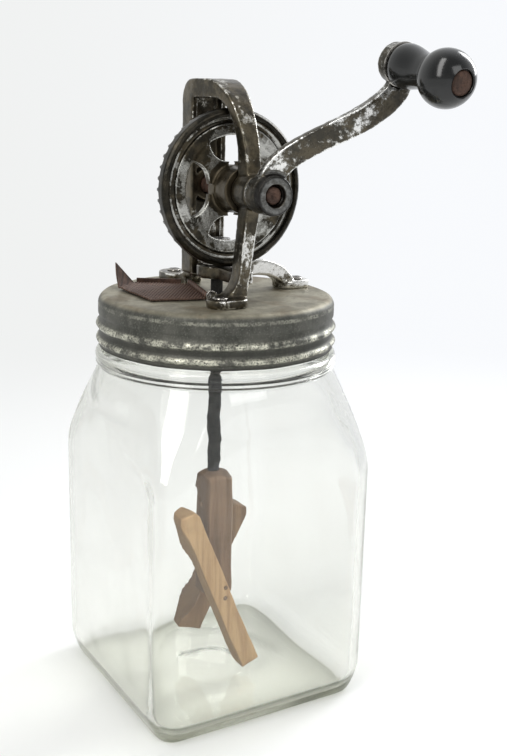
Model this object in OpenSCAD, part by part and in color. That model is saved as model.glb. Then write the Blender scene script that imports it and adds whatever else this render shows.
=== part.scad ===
// Hand-cranked butter churn: a square glass jar, a screw lid with a geared frame on it, and wooden paddles.
// Millimetres, +Z up. The origin is the centre of the jar's base, and the crank is towards -Y.

/* [Jar] */
// Width of the square body across its flat faces
body_w = 120; // [116:1:126]
// Radius of the body's upright corners
corner_r = 14; // [12:1:18]
// How far the heel draws in towards the base
heel_in = 7; // [5:0.5:9]
// Height of the rounded heel
heel_h = 16; // [10:1:20]
// Thickness of the glass walls
glass_t = 4.5; // [3.5:0.5:5]
// Thickness of the glass floor
floor_t = 4.5; // [4:0.5:7]
// Radius of the hollow under the base
hollow_r = 38; // [30:1:42]
// Depth of the hollow under the base
hollow_d = 1.5; // [1:0.5:2.5]
// Height of the shoulder below the neck
shoulder_h = 50; // [44:1:56]
// Radius of the shoulder's outward curve
shoulder_r = 34; // [28:1:38]
// Radius of the shoulder where it meets the collar
shoulder_top_r = 57.4; // [56.5:0.1:58]
// Height where the neck rises from the shoulder
neck_z = 170; // [167:1:173]
// Outer radius of the neck
neck_r = 53.5; // [52.5:0.25:54.5]
// Radius of the mouth
mouth_r = 48; // [45:0.5:49]
// Height of the neck up to the rim
neck_h = 33; // [29:1:38]
// How far the thread ridges stand out of the neck
thread_h = 1.4; // [0.8:0.1:1.6]
// Height of the rounded collar below the lid
collar_t = 8; // [6:0.5:9]
// How far the collar is set out from the neck
collar_out = 1.7; // [1:0.1:2.5]

/* [Lid] */
// Outer radius of the lid's skirt
lid_r = 57.7; // [57:0.1:59]
// Height of the lid
lid_h = 25; // [23:1:28]
// Thickness of the sheet metal
sheet_t = 1.2; // [0.8:0.1:1.5]
// Radius of the lid's rounded top edge
lid_edge_r = 4; // [3:0.5:6]
// Height of the plain band between the top and the upper bead
lid_band_h = 13.5; // [12:0.5:14.5]
// Distance between the two rolled beads
bead_pitch = 7; // [6:0.5:8]
// How far the beads stand out of the skirt
bead_h = 1.1; // [0.8:0.1:1.4]

/* [Vent] */
// Direction of the pour opening round the lid, in degrees from +X
vent_a = 165; // [161:1:168]
// Distance of the flap's hinge wire from the lid's centre
vent_hinge_r = 9.2; // [8.8:0.2:10.6]
// Width of the screen flap along its wire
screen_w = 40; // [36:0.5:41]
// Shift of the flap along its wire, towards the crank
screen_shift = 0.5; // [0:0.25:1.5]
// Length of the flap's front edge
screen_l = 27; // [24:0.5:29]
// Distance of the flap's far corner from the wire
screen_reach = 37; // [33:0.5:38]
// Distance of the far corner from the flap's middle line, away from the crank
far_corner = 13; // [10:0.5:15]
// How far the flap's rear edge runs out beyond the end of the wire
screen_flare = 8.5; // [6:0.5:9]
// Thickness of the screen
screen_t = 1; // [0.8:0.1:1.2]
// Margin of the flap round the pour opening
screen_margin = 4.5; // [3.5:0.5:6]
// Height of the bent-up tip of the flap
tip_h = 12.5; // [9:0.5:14]
// Angle of the bent-up tip
tip_a = 85; // [70:1:90]
// Radius of the hinge wire
wire_r = 0.8; // [0.6:0.1:0.9]
// Radius of the two posts that hold the wire
post_r = 1.1; // [1:0.1:1.3]
// Height of the turned-up lip beside the opening
lip_h = 3.2; // [2:0.2:4]

/* [Frame] */
// Height of the crank's axis above the lid
axis_h = 51.5; // [50:0.5:54]
// Height of the top of the arch above the lid
arch_h = 101; // [99:1:106]
// Distance of the rear leg's back from the rod's axis
arch_back = 20.5; // [19.5:0.5:24]
// Distance of the front leg's face from the rod's axis
arch_front = 34.5; // [34:0.5:37]
// Length of the flat top in front of the rod's axis
arch_flat = 0; // [0:0.5:4]
// Length of the flat underside of the top in front of the rod's axis
arch_flat_in = 7; // [6:0.5:10]
// How far the channel's hollow runs in front of the rod's axis
hollow_reach = 16; // [12:0.5:18]
// Height of the springing of the arch's front curve above the lid
arch_spring = 52; // [48:0.5:56]
// Height of the springing of the arch's inner curve above the lid, over the wheel's neck
arch_spring_in = 62; // [60:0.5:66]
// Radius of the arch's rear corner
arch_corner_r = 9; // [6:0.5:11]
// Depth of the arch at its top
arch_depth = 8.5; // [7.5:0.25:8.75]
// Depth of the front leg
leg_depth = 8.5; // [7.5:0.25:9]
// Depth of the rear leg's side flanges
flange_d = 11; // [8:0.5:11]
// Width of the arch at the rear leg
arch_w_back = 18.8; // [17:0.2:22]
// Width of the front leg
arch_w_front = 7.2; // [6.6:0.2:9]
// Thickness of the arch's side flanges
web_t = 2.9; // [2.4:0.1:3.2]
// Thickness of the arch's back, behind its hollow
back_t = 6.5; // [5:0.25:7.25]
// Radius of the bearing bosses
boss_r = 8; // [7:0.25:9]
// How far the front bearing stands out of the leg
boss_out = 3.5; // [2.5:0.25:4.5]
// Radius of the hub that carries the rod
hub_r = 10; // [9:0.25:11]
// Height of the hub's underside above the lid
hub_lift = 8; // [7:0.25:8.5]
// Thickness of the hub and of the bridge through it
hub_t = 6; // [5:0.25:6.5]
// Width of the bridge between the two legs
bridge_w = 9; // [8:0.5:12]
// Distance of the side foot's rivet from the centre
foot_reach = 46; // [43:0.5:46.5]
// Distance of the rear foot's rivet from the centre
rear_reach = 46.5; // [45:0.5:47]
// Length over which the side leg comes down to its foot
side_drop = 25; // [20:0.5:28]
// Height of the flare from the rear leg down to its foot
rear_rise = 12; // [9:0.5:14]
// Height of the gap under the rear foot, where the flap's wire ends
rear_gap = 4.6; // [4.4:0.1:5]
// Rise of the side leg above the hub
side_crown = 2; // [0:0.5:4]
// Radius of the feet's pads
pad_r = 6.5; // [5.5:0.25:7]
// Radius of the rear foot's pad
rear_pad_r = 8; // [7:0.25:8.5]
// Thickness of the feet's pads
pad_t = 4; // [3.5:0.25:5]
// Width of the side and rear legs
leg_w = 10; // [8:0.5:12]
// Height of the flare from the front leg down to its foot
toe_rise = 14; // [11:0.5:16]
// Length of that flare
toe_run = 9.5; // [8:0.5:10.5]
// How far the front foot turns aside
foot_turn = 17; // [15:0.5:19]
// How far the front leg leans aside below its bearing
shin_lean = 5.8; // [4:0.2:7]
// Width of the front leg at its foot
shin_w = 5.2; // [4.4:0.2:6]
// Radius of the rivets
rivet_r = 2; // [1.5:0.1:2.5]
// Radius of the rivets' heads
rivet_head_r = 3.8; // [3:0.1:4.5]
// Height of the rivets' heads
rivet_head_h = 2; // [1.5:0.1:2.5]

/* [Gears] */
// Number of teeth on the big wheel
gear_teeth = 44; // [44:44:44]
// Number of teeth on the pinion
pinion_teeth = 11; // [11:11:11]
// Outer radius of the big wheel
gear_r = 36.7; // [36:0.1:37]
// Radial length of the wheel's teeth
tooth_l = 4.5; // [3.5:0.25:5]
// Depth of the wheel's teeth
tooth_h = 2.2; // [1.8:0.1:2.4]
// Thickness of the wheel's teeth at their root
tooth_root_w = 2.5; // [2:0.1:2.7]
// Thickness of the wheel's teeth at their tip
tooth_tip_w = 1.3; // [1:0.1:1.5]
// Depth of the wheel's rim
rim_d = 6; // [5:0.25:6.5]
// Inner radius of the rim
rim_in_r = 24.5; // [22:0.5:26]
// Width of the rim's outer band
band_w = 3.2; // [2.5:0.1:4]
// Width of the rim's inner band
inner_band_w = 5.5; // [4:0.25:6]
// Depth of the groove between the two bands
groove_d = 2.5; // [1.5:0.25:3]
// Width of the four spokes
spoke_w = 8; // [6:0.5:10]
// How far the spokes widen at their ends
spoke_flare = 3.5; // [2:0.25:4.5]
// Thickness of the spokes
spoke_t = 3.5; // [3:0.25:4.5]
// Radius of the wheel's hub
gear_hub_r = 11; // [9.5:0.25:12]
// Radius of the hub's neck towards the crank
gear_neck_r = 10.5; // [9:0.25:10.75]
// Thickness of the pinion's teeth at their root
pinion_root_w = 2.6; // [2.2:0.1:2.8]
// Thickness of the pinion's teeth at their tip
pinion_tip_w = 1.2; // [0.9:0.1:1.4]
// Length of the pinion's teeth
pinion_l = 6; // [5.5:0.25:7]
// Radius of the pinion's collar
pinion_collar_r = 6.2; // [5.5:0.1:6.6]
// Length of the pinion's collar
pinion_collar_l = 5.5; // [5:0.25:7]

/* [Crank] */
// Radius of the crank's shaft
shaft_r = 4; // [3.5:0.1:4.5]
// Distance from the shaft's axis to the knob's pin
throw = 77.4; // [76:0.1:80]
// Angle of the crank above +X as drawn
rest_a = 48.2; // [40:0.1:54]
// Pull of the arm's bow where it leaves the hub
bow_in = 22; // [16:1:25]
// Pull of the arm's bow where it meets the knob
bow_out = 26; // [20:1:30]
// Lead of that bow along the crank at the hub
lead_in = 18; // [15:0.5:22]
// Lead of that bow along the crank at the knob
lead_out = 5; // [4.5:0.5:9]
// How far the arm bends outwards, to pass in front of the lid
arm_out = 21.5; // [20.5:0.5:24]
// Length over which the arm bends outwards
arm_bend = 52; // [46:1:53]
// Width of the arm
arm_w = 11.2; // [10:0.2:12]
// Thickness of the arm
arm_t = 5; // [4:0.25:6]
// Radius of the crank's hub
crank_hub_r = 8.9; // [7.5:0.1:9.2]
// Length of the crank's hub
crank_hub_l = 13; // [12:0.5:15]
// Distance of the arm from the back of the hub
arm_set = 3; // [2:0.25:4]
// Radius of the recess round the shaft's end
recess_r = 5; // [4.8:0.1:5.4]
// Depth of the recess round the shaft's end
recess_d = 2.2; // [1.5:0.1:2.8]
// Radius of the boss at the arm's end
end_boss_r = 8.7; // [8:0.1:9.2]
// Length of the boss at the arm's end
end_boss_l = 6; // [5.5:0.25:7.5]
// Radius of the shaft's collar
collar_r = 7.5; // [6.5:0.25:8.5]
// Length of the shaft's collar
collar_l = 6; // [5:0.5:8]
// Thickness of the washers
washer_t = 1; // [0.6:0.1:1.4]
// Radius of the cross pins
pin_r = 1.2; // [1:0.1:1.4]

/* [Handle] */
// Lean of the knob's pin, downwards as drawn
lean = 11; // [0:1:14]
// Radius of the knob's pin
knob_pin_r = 2.8; // [2.4:0.1:3]
// Length of the knob
knob_l = 40.5; // [38:0.5:44]
// Radius of the knob's foot
knob_foot_r = 9.7; // [9.2:0.1:10.4]
// Radius of the knob's waist
knob_waist_r = 7.7; // [7:0.1:8.2]
// Radius of the knob's ball
ball_r = 12.4; // [11.5:0.1:13.2]
// Radius of the pin's head
pin_head_r = 5.3; // [4.8:0.1:5.6]
// Thickness of the pin's head
pin_head_t = 1.8; // [1.4:0.1:2.2]

/* [Dasher] */
// Radius of the upright rod
rod_r = 3; // [2.5:0.1:3.3]
// Width of the square stem
stem_w = 15; // [14:0.5:16]
// Length of the stem
stem_l = 65; // [58:1:70]
// How deep the rod goes into the stem
rod_in_stem = 34; // [28:1:40]
// Length of the front paddle
paddle_l = 95; // [88:1:98]
// Length of the rear paddle
rear_paddle_l = 72; // [66:1:80]
// Width of the paddles
paddle_w = 10; // [9:0.5:12]
// Thickness of the paddles
paddle_t = 11.5; // [8:0.5:12]
// Slant of the paddles from upright
paddle_a = 22; // [16:1:23]
// Shift of the paddles aside from the stem's middle line
paddle_shift = 5.75; // [4:0.25:6]
// Gap between the paddles' low ends and the jar's floor
paddle_clear = 4.4; // [4.4:0.2:6]
// Height of the stem's foot above the middle of the paddles
stem_up = -7; // [-8:0.5:-5]
// How far the stem's corners are cut back
stem_bevel = 1.2; // [0.6:0.1:1.8]
// Turn of the dasher about its rod as drawn
dasher_turn = -1; // [-30:1:30]
// Radius of the nails
nail_r = 1.1; // [0.8:0.1:1.3]
// Distance between a paddle's two nails
nail_gap = 6; // [5:0.25:6.5]
// Distance of the nails from the stem's middle line
nail_set = 3.2; // [2.8:0.1:3.4]
// How deep the nails go into the stem
nail_grip = 5; // [4:0.5:6]

/* [Fits] */
// Radial clearance of a running fit
run_gap = 0.06; // [0.04:0.01:0.1]
// Radial clearance of a fixed fit
fix_gap = 0.03; // [0.02:0.01:0.05]
// Gap between faces that move on each other
seat_gap = 0.3; // [0.2:0.05:0.4]
// Clearance of a hole that something only passes through
pass_gap = 0.6; // [0.4:0.1:1]

/* [Hidden] */
$fn = 64;

// Extra length of a cut past the face that it opens through
cut = 1;
// Step of the worked-out curves, in degrees
arc_step = 15;

shoulder_z = neck_z - shoulder_h;
rim_z = neck_z + neck_h;
collar_z = neck_z + collar_t / 2;
// Reach of the jar's rounded corner from its axis
corner_reach = (body_w / 2 - corner_r) * sqrt(2) + corner_r;
// Room between the corner and the round shoulder where that is still upright
shoulder_slack = 0.4;
shoulder_reach = corner_reach + shoulder_slack;
// Slope of the shoulder from upright: its line leaves the outward curve and runs to the collar.
shoulder_run = [shoulder_top_r - shoulder_reach + shoulder_r, shoulder_h];
shoulder_turn = atan2(shoulder_run[1], shoulder_run[0]) - acos(shoulder_r / norm(shoulder_run));

lid_top = rim_z + seat_gap + sheet_t;
lid_bottom = lid_top - lid_h;
bead_z = [lid_top - lid_band_h - bead_h, lid_top - lid_band_h - bead_h - bead_pitch];

axis_z = lid_top + axis_h;
arch_top = lid_top + arch_h;
spring_z = lid_top + arch_spring;
spring_in_z = lid_top + arch_spring_in;
hub_z = lid_top + hub_lift;
hub_top = hub_z + hub_t;
rear_face = arch_back - flange_d;
leg_inner = arch_front - leg_depth;
boss_face = arch_front + boss_out;
// Height inside the front bearing where the leg starts to lean
shin_top = axis_z - boss_r / 2;

// The wheel's teeth meet the pinion below the shaft. Distances are from the rod's axis towards the crank.
tooth_out_r = gear_r - seat_gap;
mesh_r = tooth_out_r - tooth_l / 2;
pinion_r = mesh_r * pinion_teeth / gear_teeth;
tooth_tip_y = pinion_r - tooth_h / 2 + seat_gap / 2;
tooth_root_y = tooth_tip_y + tooth_h;
pinion_tip_r = tooth_root_y - seat_gap;
pinion_root_r = tooth_tip_y - seat_gap;
rim_front_y = tooth_root_y + rim_d;
hub_front_y = leg_inner - seat_gap;

pinion_z = hub_top + washer_t + seat_gap;
rod_top = pinion_z + pinion_l + pinion_collar_l;

crank_back = boss_face + washer_t + 2 * seat_gap;
crank_front = crank_back + crank_hub_l;
arm_y = crank_back + arm_set + arm_t / 2;
knob_y = arm_y + arm_out;
knob_x = throw * cos(rest_a);
knob_z = axis_z + throw * sin(rest_a);
shaft_end = crank_front - recess_d / 2;
shaft_back = arch_back + seat_gap + collar_l + cut;

paddle_z = floor_t + paddle_clear + paddle_l / 2 * cos(paddle_a) + paddle_w / 2 * sin(paddle_a);
stem_z = paddle_z + stem_up;
stem_top = stem_z + stem_l;
paddle_y = stem_w / 2 + paddle_t / 2;

knuckle_r = wire_r + run_gap + screen_t;
wire_z = lid_top + knuckle_r + seat_gap;
wire_l = screen_w + 2 * post_r + 2 * seat_gap;
// Angle of the flap's rear edge
flare_a = atan(screen_flare / screen_l);

function arc(cx, cy, r, a0, a1, n = 6) =
  [for (i = [0 : n]) let(a = a0 + (a1 - a0) * i / n) [cx + r * cos(a), cy + r * sin(a)]];
function ellipse(cx, cy, ra, rb, a0, a1, n = 12) =
  [for (i = [0 : n]) let(a = a0 + (a1 - a0) * i / n) [cx + ra * cos(a), cy + rb * sin(a)]];
function mirrored(points) = [for (i = [len(points) - 1 : -1 : 0]) [-points[i][0], points[i][1]]];

// Turns a shape drawn upright so that it points towards the crank, at the height of the shaft.
module on_shaft() { translate([0, 0, axis_z]) rotate([90, 0, 0]) children(); }

// Draws an outline in the plane across the churn, seen from +X, and gives it a width along X.
module across(width) { rotate([90, 0, 90]) linear_extrude(width, center = true) children(); }

// Places a shape at the knob's end of the arm, along the leaning pin.
module on_handle() { translate([knob_x, -knob_y, knob_z]) rotate([90 + lean, 0, 0]) children(); }

// Places a shape on the lid with +X outwards over the pour opening.
module on_vent() { rotate([0, 0, vent_a]) translate([vent_hinge_r, screen_shift, 0]) children(); }

module ring(r_out, r_in, h) {
  difference() {
    cylinder(r = r_out, h = h);
    translate([0, 0, -cut]) cylinder(r = r_in, h = h + 2 * cut);
  }
}

module stadium(length, r) {
  circle(r);
  translate([length, 0]) circle(r);
  translate([0, -r]) square([length, 2 * r]);
}

// A square block with round corners and a rounded heel
module heeled_block(w, r, inset, heel, top) {
  centre = w / 2 - r;
  heel_curve = [for (a = [0 : arc_step : 90]) [-inset * (1 - sin(a)), heel * (1 - cos(a))]];
  side = [for (p = heel_curve) [w / 2 + p[0], p[1]]];
  corner = [for (p = heel_curve) [r + p[0], p[1]]];
  outline = concat(side, [[w / 2, top], [-w / 2, top]], mirrored(side));
  for (turn = [0, 90]) rotate(turn) across(2 * centre) polygon(outline);
  for (x = [-centre, centre]) for (y = [-centre, centre])
    translate([x, y, 0]) rotate_extrude() polygon(concat([[0, 0]], corner, [[r, top], [0, top]]));
}

// The round shoulder, as a turned shape that the square body is cut with
module shoulder(inset) {
  top_r = shoulder_top_r - inset / cos(shoulder_turn) - collar_t / 2 * tan(shoulder_turn);
  outward = arc(shoulder_reach - shoulder_r, shoulder_z, shoulder_r - inset, 0, shoulder_turn);
  lower = [[0, -cut], [shoulder_reach - inset, -cut]];
  rotate_extrude() polygon(concat(lower, outward, [[top_r, collar_z], [0, collar_z]]));
}

module glass_jar() color([0.86, 0.91, 0.9, 0.5]) {
  inner_r = corner_r - glass_t;
  difference() {
    union() {
      intersection() {
        heeled_block(body_w, corner_r, heel_in, heel_h, collar_z);
        shoulder(0);
      }
      translate([0, 0, neck_z - collar_t]) cylinder(r = neck_r, h = rim_z - neck_z + collar_t);
      translate([0, 0, collar_z]) rotate_extrude() translate([neck_r + collar_out, 0]) circle(collar_t / 2);
      for (z = bead_z) translate([0, 0, z]) rotate_extrude() translate([neck_r, 0]) circle(thread_h);
    }
    intersection() {
      translate([0, 0, floor_t])
        heeled_block(body_w - 2 * glass_t, inner_r, min(heel_in, inner_r - cut), heel_h, neck_z);
      shoulder(glass_t);
    }
    translate([0, 0, neck_z - collar_t]) cylinder(r = mouth_r, h = rim_z);
    translate([0, 0, -cut]) cylinder(r = hollow_r, h = hollow_d + cut);
  }
}

module lid_section(r, top, bottom, edge) {
  translate([0, bottom]) square([r, top - edge - bottom]);
  translate([0, top - edge - cut]) square([r - edge, edge + cut]);
  translate([r - edge, top - edge]) circle(edge);
}

module screw_lid() color([0.42, 0.42, 0.4]) {
  difference() {
    rotate_extrude() difference() {
      union() {
        lid_section(lid_r, lid_top, lid_bottom, lid_edge_r);
        for (z = bead_z) translate([lid_r, z]) circle(bead_h);
      }
      lid_section(lid_r - sheet_t, lid_top - sheet_t, lid_bottom - cut, lid_edge_r - sheet_t);
      translate([-2 * lid_r, lid_bottom - cut]) square([2 * lid_r, lid_h + 2 * cut]);
    }
    translate([0, 0, lid_top - sheet_t - cut]) cylinder(r = rod_r + pass_gap, h = sheet_t + 2 * cut);
    rivets_at() cylinder(r = rivet_r + fix_gap, h = 2 * (sheet_t + cut), center = true);
    on_vent() translate([screen_margin, -screen_w / 2 + screen_margin, lid_top - sheet_t - cut])
      cube([screen_l - 2 * screen_margin, screen_w - 2 * screen_margin, sheet_t + 2 * cut]);
    wire_posts(post_r + fix_gap);
  }
  on_vent() translate([0, -screen_w / 2, lid_top - sheet_t]) rotate(-flare_a)
    translate([screen_margin, -sheet_t - 2 * seat_gap, 0])
      cube([screen_l - screen_margin, sheet_t, sheet_t + lip_h]);
}

// Puts a shape at each foot's rivet, with its origin on the lid's top.
module rivets_at() {
  translate([foot_reach, 0, lid_top]) children();
  translate([0, rear_reach, lid_top]) children();
  translate([-foot_turn, -arch_front, lid_top]) children();
}

// The arch's outline from the side, drawn in by a depth that its rear corner must hold
function arch_outer(d) = let(corner = max(arch_corner_r, d + cut)) concat(
  [[arch_back - d, hub_z]],
  arc(arch_back - corner, arch_top - corner, corner - d, 0, 90),
  ellipse(-arch_flat, spring_z, arch_front - arch_flat - d, arch_top - spring_z - d, 90, 180),
  [[-arch_front + d, shin_top], [-leg_inner, shin_top], [rear_face, hub_z]]
);
function arch_inner() = concat(
  [[rear_face, hub_z - cut], [rear_face, arch_top - arch_depth]],
  ellipse(-arch_flat_in, spring_in_z, leg_inner - arch_flat_in, arch_top - arch_depth - spring_in_z, 90, 180),
  [[-leg_inner, shin_top - cut]]
);

// The arch's outline seen from above: wide at the rear leg and narrow at the front one
module arch_plan(inset, front) {
  back_w = arch_w_back / 2 - inset;
  spread = (arch_w_back - arch_w_front) / 2 / (arch_front + rear_face);
  front_w = arch_w_front / 2 + spread * (arch_front - front) - inset;
  half = [[back_w, arch_back + cut], [back_w, rear_face], [front_w, -front]];
  polygon(concat([for (i = [2 : -1 : 0]) half[i]], [for (i = [0 : 2]) [-half[i][0], half[i][1]]]));
}

module arch() {
  difference() {
    intersection() {
      across(2 * arch_w_back) difference() {
        polygon(arch_outer(0));
        polygon(arch_inner());
      }
      linear_extrude(2 * arch_top) arch_plan(0, arch_front);
    }
    intersection() {
      across(2 * arch_w_back) difference() {
        polygon(arch_outer(back_t));
        translate([-arch_front, 0]) square([2 * arch_front, hub_top + web_t]);
      }
      linear_extrude(2 * arch_top) arch_plan(web_t, hollow_reach);
    }
  }
}

// The front leg below its bearing, narrowing and leaning aside, with a flare down to its foot
module shin() {
  top_w = arch_w_front / 2;
  foot_w = shin_w / 2;
  toe_z = lid_top + pad_t + toe_rise;
  toe_x = -top_w + (top_w - shin_lean - foot_w) * (shin_top - toe_z) / (shin_top - lid_top);
  flare = ellipse(toe_x - toe_run, toe_z, toe_run, toe_rise, 0, -90, 6);
  front_view = concat(
    [[top_w, shin_top], [-top_w, shin_top]], flare,
    [[toe_x - toe_run, lid_top], [foot_w - shin_lean, lid_top]]
  );
  translate([0, -leg_inner, 0]) rotate([90, 0, 0]) linear_extrude(leg_depth) polygon(front_view);
}

module foot_pad(rivet_at, r) {
  translate([rivet_at, 0, lid_top]) rotate(180) linear_extrude(pad_t) stadium(r, r);
}

// The leg that arches from the hub out to the side foot
module side_leg() {
  reach = foot_reach - pad_r / 2;
  bend = reach - side_drop;
  root = [[hub_r / 2, hub_z], [hub_r / 2, hub_top], [hub_r, hub_top]];
  outer = ellipse(bend, lid_top, side_drop, hub_lift + hub_t + side_crown, 90, 0);
  inner = ellipse(bend, lid_top, side_drop - pad_r, hub_lift, 0, 90);
  rotate([90, 0, 0]) linear_extrude(leg_w, center = true) polygon(concat(root, outer, inner));
  foot_pad(foot_reach, pad_r);
}

// The flare from the rear leg down to its foot, drawn along +X
module rear_foot() {
  root = arch_back - web_t;
  run = rear_reach - rear_pad_r - arch_back;
  rise_z = lid_top + pad_t + rear_rise;
  gap_end = vent_hinge_r * sin(vent_a) + (screen_shift - wire_l / 2) * cos(vent_a) + post_r + pass_gap;
  gap = [[gap_end + rear_gap / 4, lid_top], [gap_end, lid_top + rear_gap], [root, lid_top + rear_gap]];
  flare = ellipse(arch_back + run, rise_z, run, rear_rise, 180, 270, 6);
  rotate([90, 0, 0]) linear_extrude(leg_w, center = true)
    polygon(concat([[root, rise_z]], flare, [[arch_back + run, lid_top]], gap));
  foot_pad(rear_reach, rear_pad_r);
}

module gear_frame() color([0.3, 0.27, 0.23]) {
  difference() {
    union() {
      arch();
      shin();
      translate([-bridge_w / 2, -leg_inner - cut, hub_z]) cube([bridge_w, leg_inner + arch_back, hub_t]);
      translate([0, 0, hub_z]) cylinder(r = hub_r, h = hub_t);
      side_leg();
      rotate(90) rear_foot();
      translate([-foot_turn, -arch_front, lid_top]) linear_extrude(pad_t)
        stadium(foot_turn - shin_lean + shin_w / 2 - pad_r, pad_r);
      on_shaft() translate([0, 0, leg_inner]) cylinder(r = boss_r, h = boss_face - leg_inner);
      on_shaft() translate([0, 0, -arch_back]) cylinder(r = boss_r, h = flange_d);
    }
    on_shaft() translate([0, 0, -arch_back - cut])
      cylinder(r = shaft_r + run_gap, h = arch_back + boss_face + 2 * cut);
    translate([0, 0, hub_z - cut]) cylinder(r = rod_r + run_gap, h = hub_t + 2 * cut);
    rivets_at() translate([0, 0, -cut]) cylinder(r = rivet_r + fix_gap, h = pad_t + 2 * cut);
    // The front rivet's head sits in a seat cut into the flare above its pad.
    translate([-foot_turn, -arch_front, lid_top + pad_t])
      cylinder(r = rivet_head_r + fix_gap, h = toe_rise);
  }
}

module foot_rivets() color([0.25, 0.22, 0.2]) {
  rivets_at() {
    translate([0, 0, -sheet_t]) cylinder(r = rivet_r, h = sheet_t + pad_t);
    translate([0, 0, pad_t]) cylinder(r = rivet_head_r, h = rivet_head_h);
  }
}

module vent_screen() color([0.4, 0.26, 0.18]) {
  far = [screen_reach, -far_corner];
  rear = [screen_l, -screen_w / 2 - screen_flare];
  along = rear - far;
  on_vent() translate([0, 0, wire_z]) {
    difference() {
      union() {
        translate([0, 0, -knuckle_r]) linear_extrude(screen_t)
          polygon([[0, screen_w / 2], [screen_l, screen_w / 2], far, rear, [0, -screen_w / 2]]);
        rotate([90, 0, 0]) cylinder(r = knuckle_r, h = screen_w, center = true);
      }
      rotate([90, 0, 0]) cylinder(r = wire_r + run_gap, h = screen_w + 2 * cut, center = true);
    }
    translate([far[0], far[1], -knuckle_r]) rotate(atan2(along[1], along[0])) rotate([tip_a, 0, 0])
      linear_extrude(screen_t) polygon([[0, 0], [norm(along), 0], [0, tip_h]]);
  }
}

module wire_posts(r) {
  on_vent() for (side = [-1, 1]) translate([0, side * wire_l / 2, lid_top - sheet_t])
    cylinder(r = r, h = wire_z + post_r - lid_top + sheet_t);
}

module vent_wire() color([0.2, 0.19, 0.18]) {
  wire_posts(post_r);
  on_vent() translate([0, 0, wire_z]) rotate([90, 0, 0]) cylinder(r = wire_r, h = wire_l, center = true);
}

// A hole for a cross pin through something on the shaft, at a distance towards the crank
module shaft_pin_hole(y, length) {
  translate([0, 0, y]) rotate([90, 0, 0]) cylinder(r = pin_r + fix_gap, h = length, center = true);
}

// Where the cross pins sit along the shaft
gear_pin_y = (rim_front_y + hub_front_y) / 2;
crank_pin_y = crank_back + arm_set / 2 + pin_r / 2;
collar_pin_y = -arch_back - seat_gap - collar_l / 2;

module crank_shaft() color([0.36, 0.22, 0.16]) {
  on_shaft() difference() {
    translate([0, 0, -shaft_back]) cylinder(r = shaft_r, h = shaft_back + shaft_end);
    for (y = [gear_pin_y, crank_pin_y, collar_pin_y]) shaft_pin_hole(y, 4 * shaft_r);
  }
}

module shaft_washer() color([0.3, 0.28, 0.26]) {
  on_shaft() translate([0, 0, boss_face + seat_gap]) ring(boss_r, shaft_r + fix_gap, washer_t);
}

module shaft_collar() color([0.3, 0.28, 0.26]) {
  on_shaft() difference() {
    translate([0, 0, -arch_back - seat_gap - collar_l]) ring(collar_r, shaft_r + fix_gap, collar_l);
    shaft_pin_hole(collar_pin_y, 4 * collar_r);
  }
}

module cross_pin(y, length) {
  on_shaft() translate([0, 0, y]) rotate([90, 0, 0]) cylinder(r = pin_r, h = length, center = true);
}

module collar_pin() color([0.35, 0.33, 0.3]) cross_pin(collar_pin_y, 2 * collar_r + cut);

module gear_tooth() {
  section = [[tooth_root_w / 2, -seat_gap], [tooth_root_w / 2, 0], [tooth_tip_w / 2, tooth_h]];
  rotate([90, 0, 90]) linear_extrude(tooth_l) polygon(concat(section, mirrored(section)));
}

// A spoke that widens towards the hub and the rim
module spoke() {
  steps = 8;
  from = gear_hub_r - cut;
  to = rim_in_r + cut;
  upper = [for (i = [0 : steps])
    let(t = 2 * i / steps - 1) [from + (to - from) * i / steps, spoke_w / 2 + spoke_flare * t * t]];
  lower = [for (i = [steps : -1 : 0]) [upper[i][0], -upper[i][1]]];
  linear_extrude(spoke_t) polygon(concat(upper, lower));
}

module drive_gear() color([0.22, 0.19, 0.17]) {
  groove_out = gear_r - band_w;
  groove_in = rim_in_r + inner_band_w;
  edge = band_w / 2;
  rim = [
    [rim_in_r, tooth_root_y], [gear_r, tooth_root_y],
    [gear_r, rim_front_y - edge], [gear_r - edge, rim_front_y], [groove_out, rim_front_y],
    [groove_out, rim_front_y - groove_d], [groove_in, rim_front_y - groove_d],
    [groove_in, rim_front_y - groove_d / 2], [rim_in_r, rim_front_y - groove_d / 2]
  ];
  on_shaft() difference() {
    union() {
      rotate_extrude() polygon(rim);
      for (i = [0 : gear_teeth - 1]) rotate(i * 360 / gear_teeth)
        translate([tooth_out_r - tooth_l, 0, tooth_root_y]) mirror([0, 0, 1]) gear_tooth();
      for (turn = [45 : 90 : 315]) rotate(turn) translate([0, 0, tooth_root_y + cut]) spoke();
      translate([0, 0, tooth_root_y]) cylinder(r = gear_hub_r, h = rim_d);
      translate([0, 0, tooth_root_y]) cylinder(r = gear_neck_r, h = hub_front_y - tooth_root_y);
    }
    cylinder(r = shaft_r + fix_gap, h = 2 * hub_front_y);
    shaft_pin_hole(gear_pin_y, 4 * gear_neck_r);
  }
}

module gear_pin() color([0.35, 0.33, 0.3]) cross_pin(gear_pin_y, 2 * gear_neck_r);

// The arm's middle line, from the shaft to the knob's pin, as one smooth S
function arm_middle(t) =
  3 * (1 - t) * (1 - t) * t * [lead_in, bow_in]
  + 3 * (1 - t) * t * t * [throw - lead_out, -bow_out]
  + t * t * t * [throw, 0];

// How far out the arm lies at a distance from the shaft
function arm_depth(s) = let(t = min(max(s / arm_bend, 0), 1)) arm_y + arm_out * t * t * (3 - 2 * t);

module arm_outline() {
  steps = 24;
  middle = [for (i = [0 : steps]) arm_middle(i / steps)];
  normal = [for (i = [0 : steps])
    let(a = middle[max(i - 1, 0)], b = middle[min(i + 1, steps)], d = b - a) [-d[1], d[0]] / norm(d)];
  upper = [for (i = [0 : steps]) middle[i] + normal[i] * arm_w / 2];
  lower = [for (i = [steps : -1 : 0]) middle[i] - normal[i] * arm_w / 2];
  polygon(concat(upper, lower));
}

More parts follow.
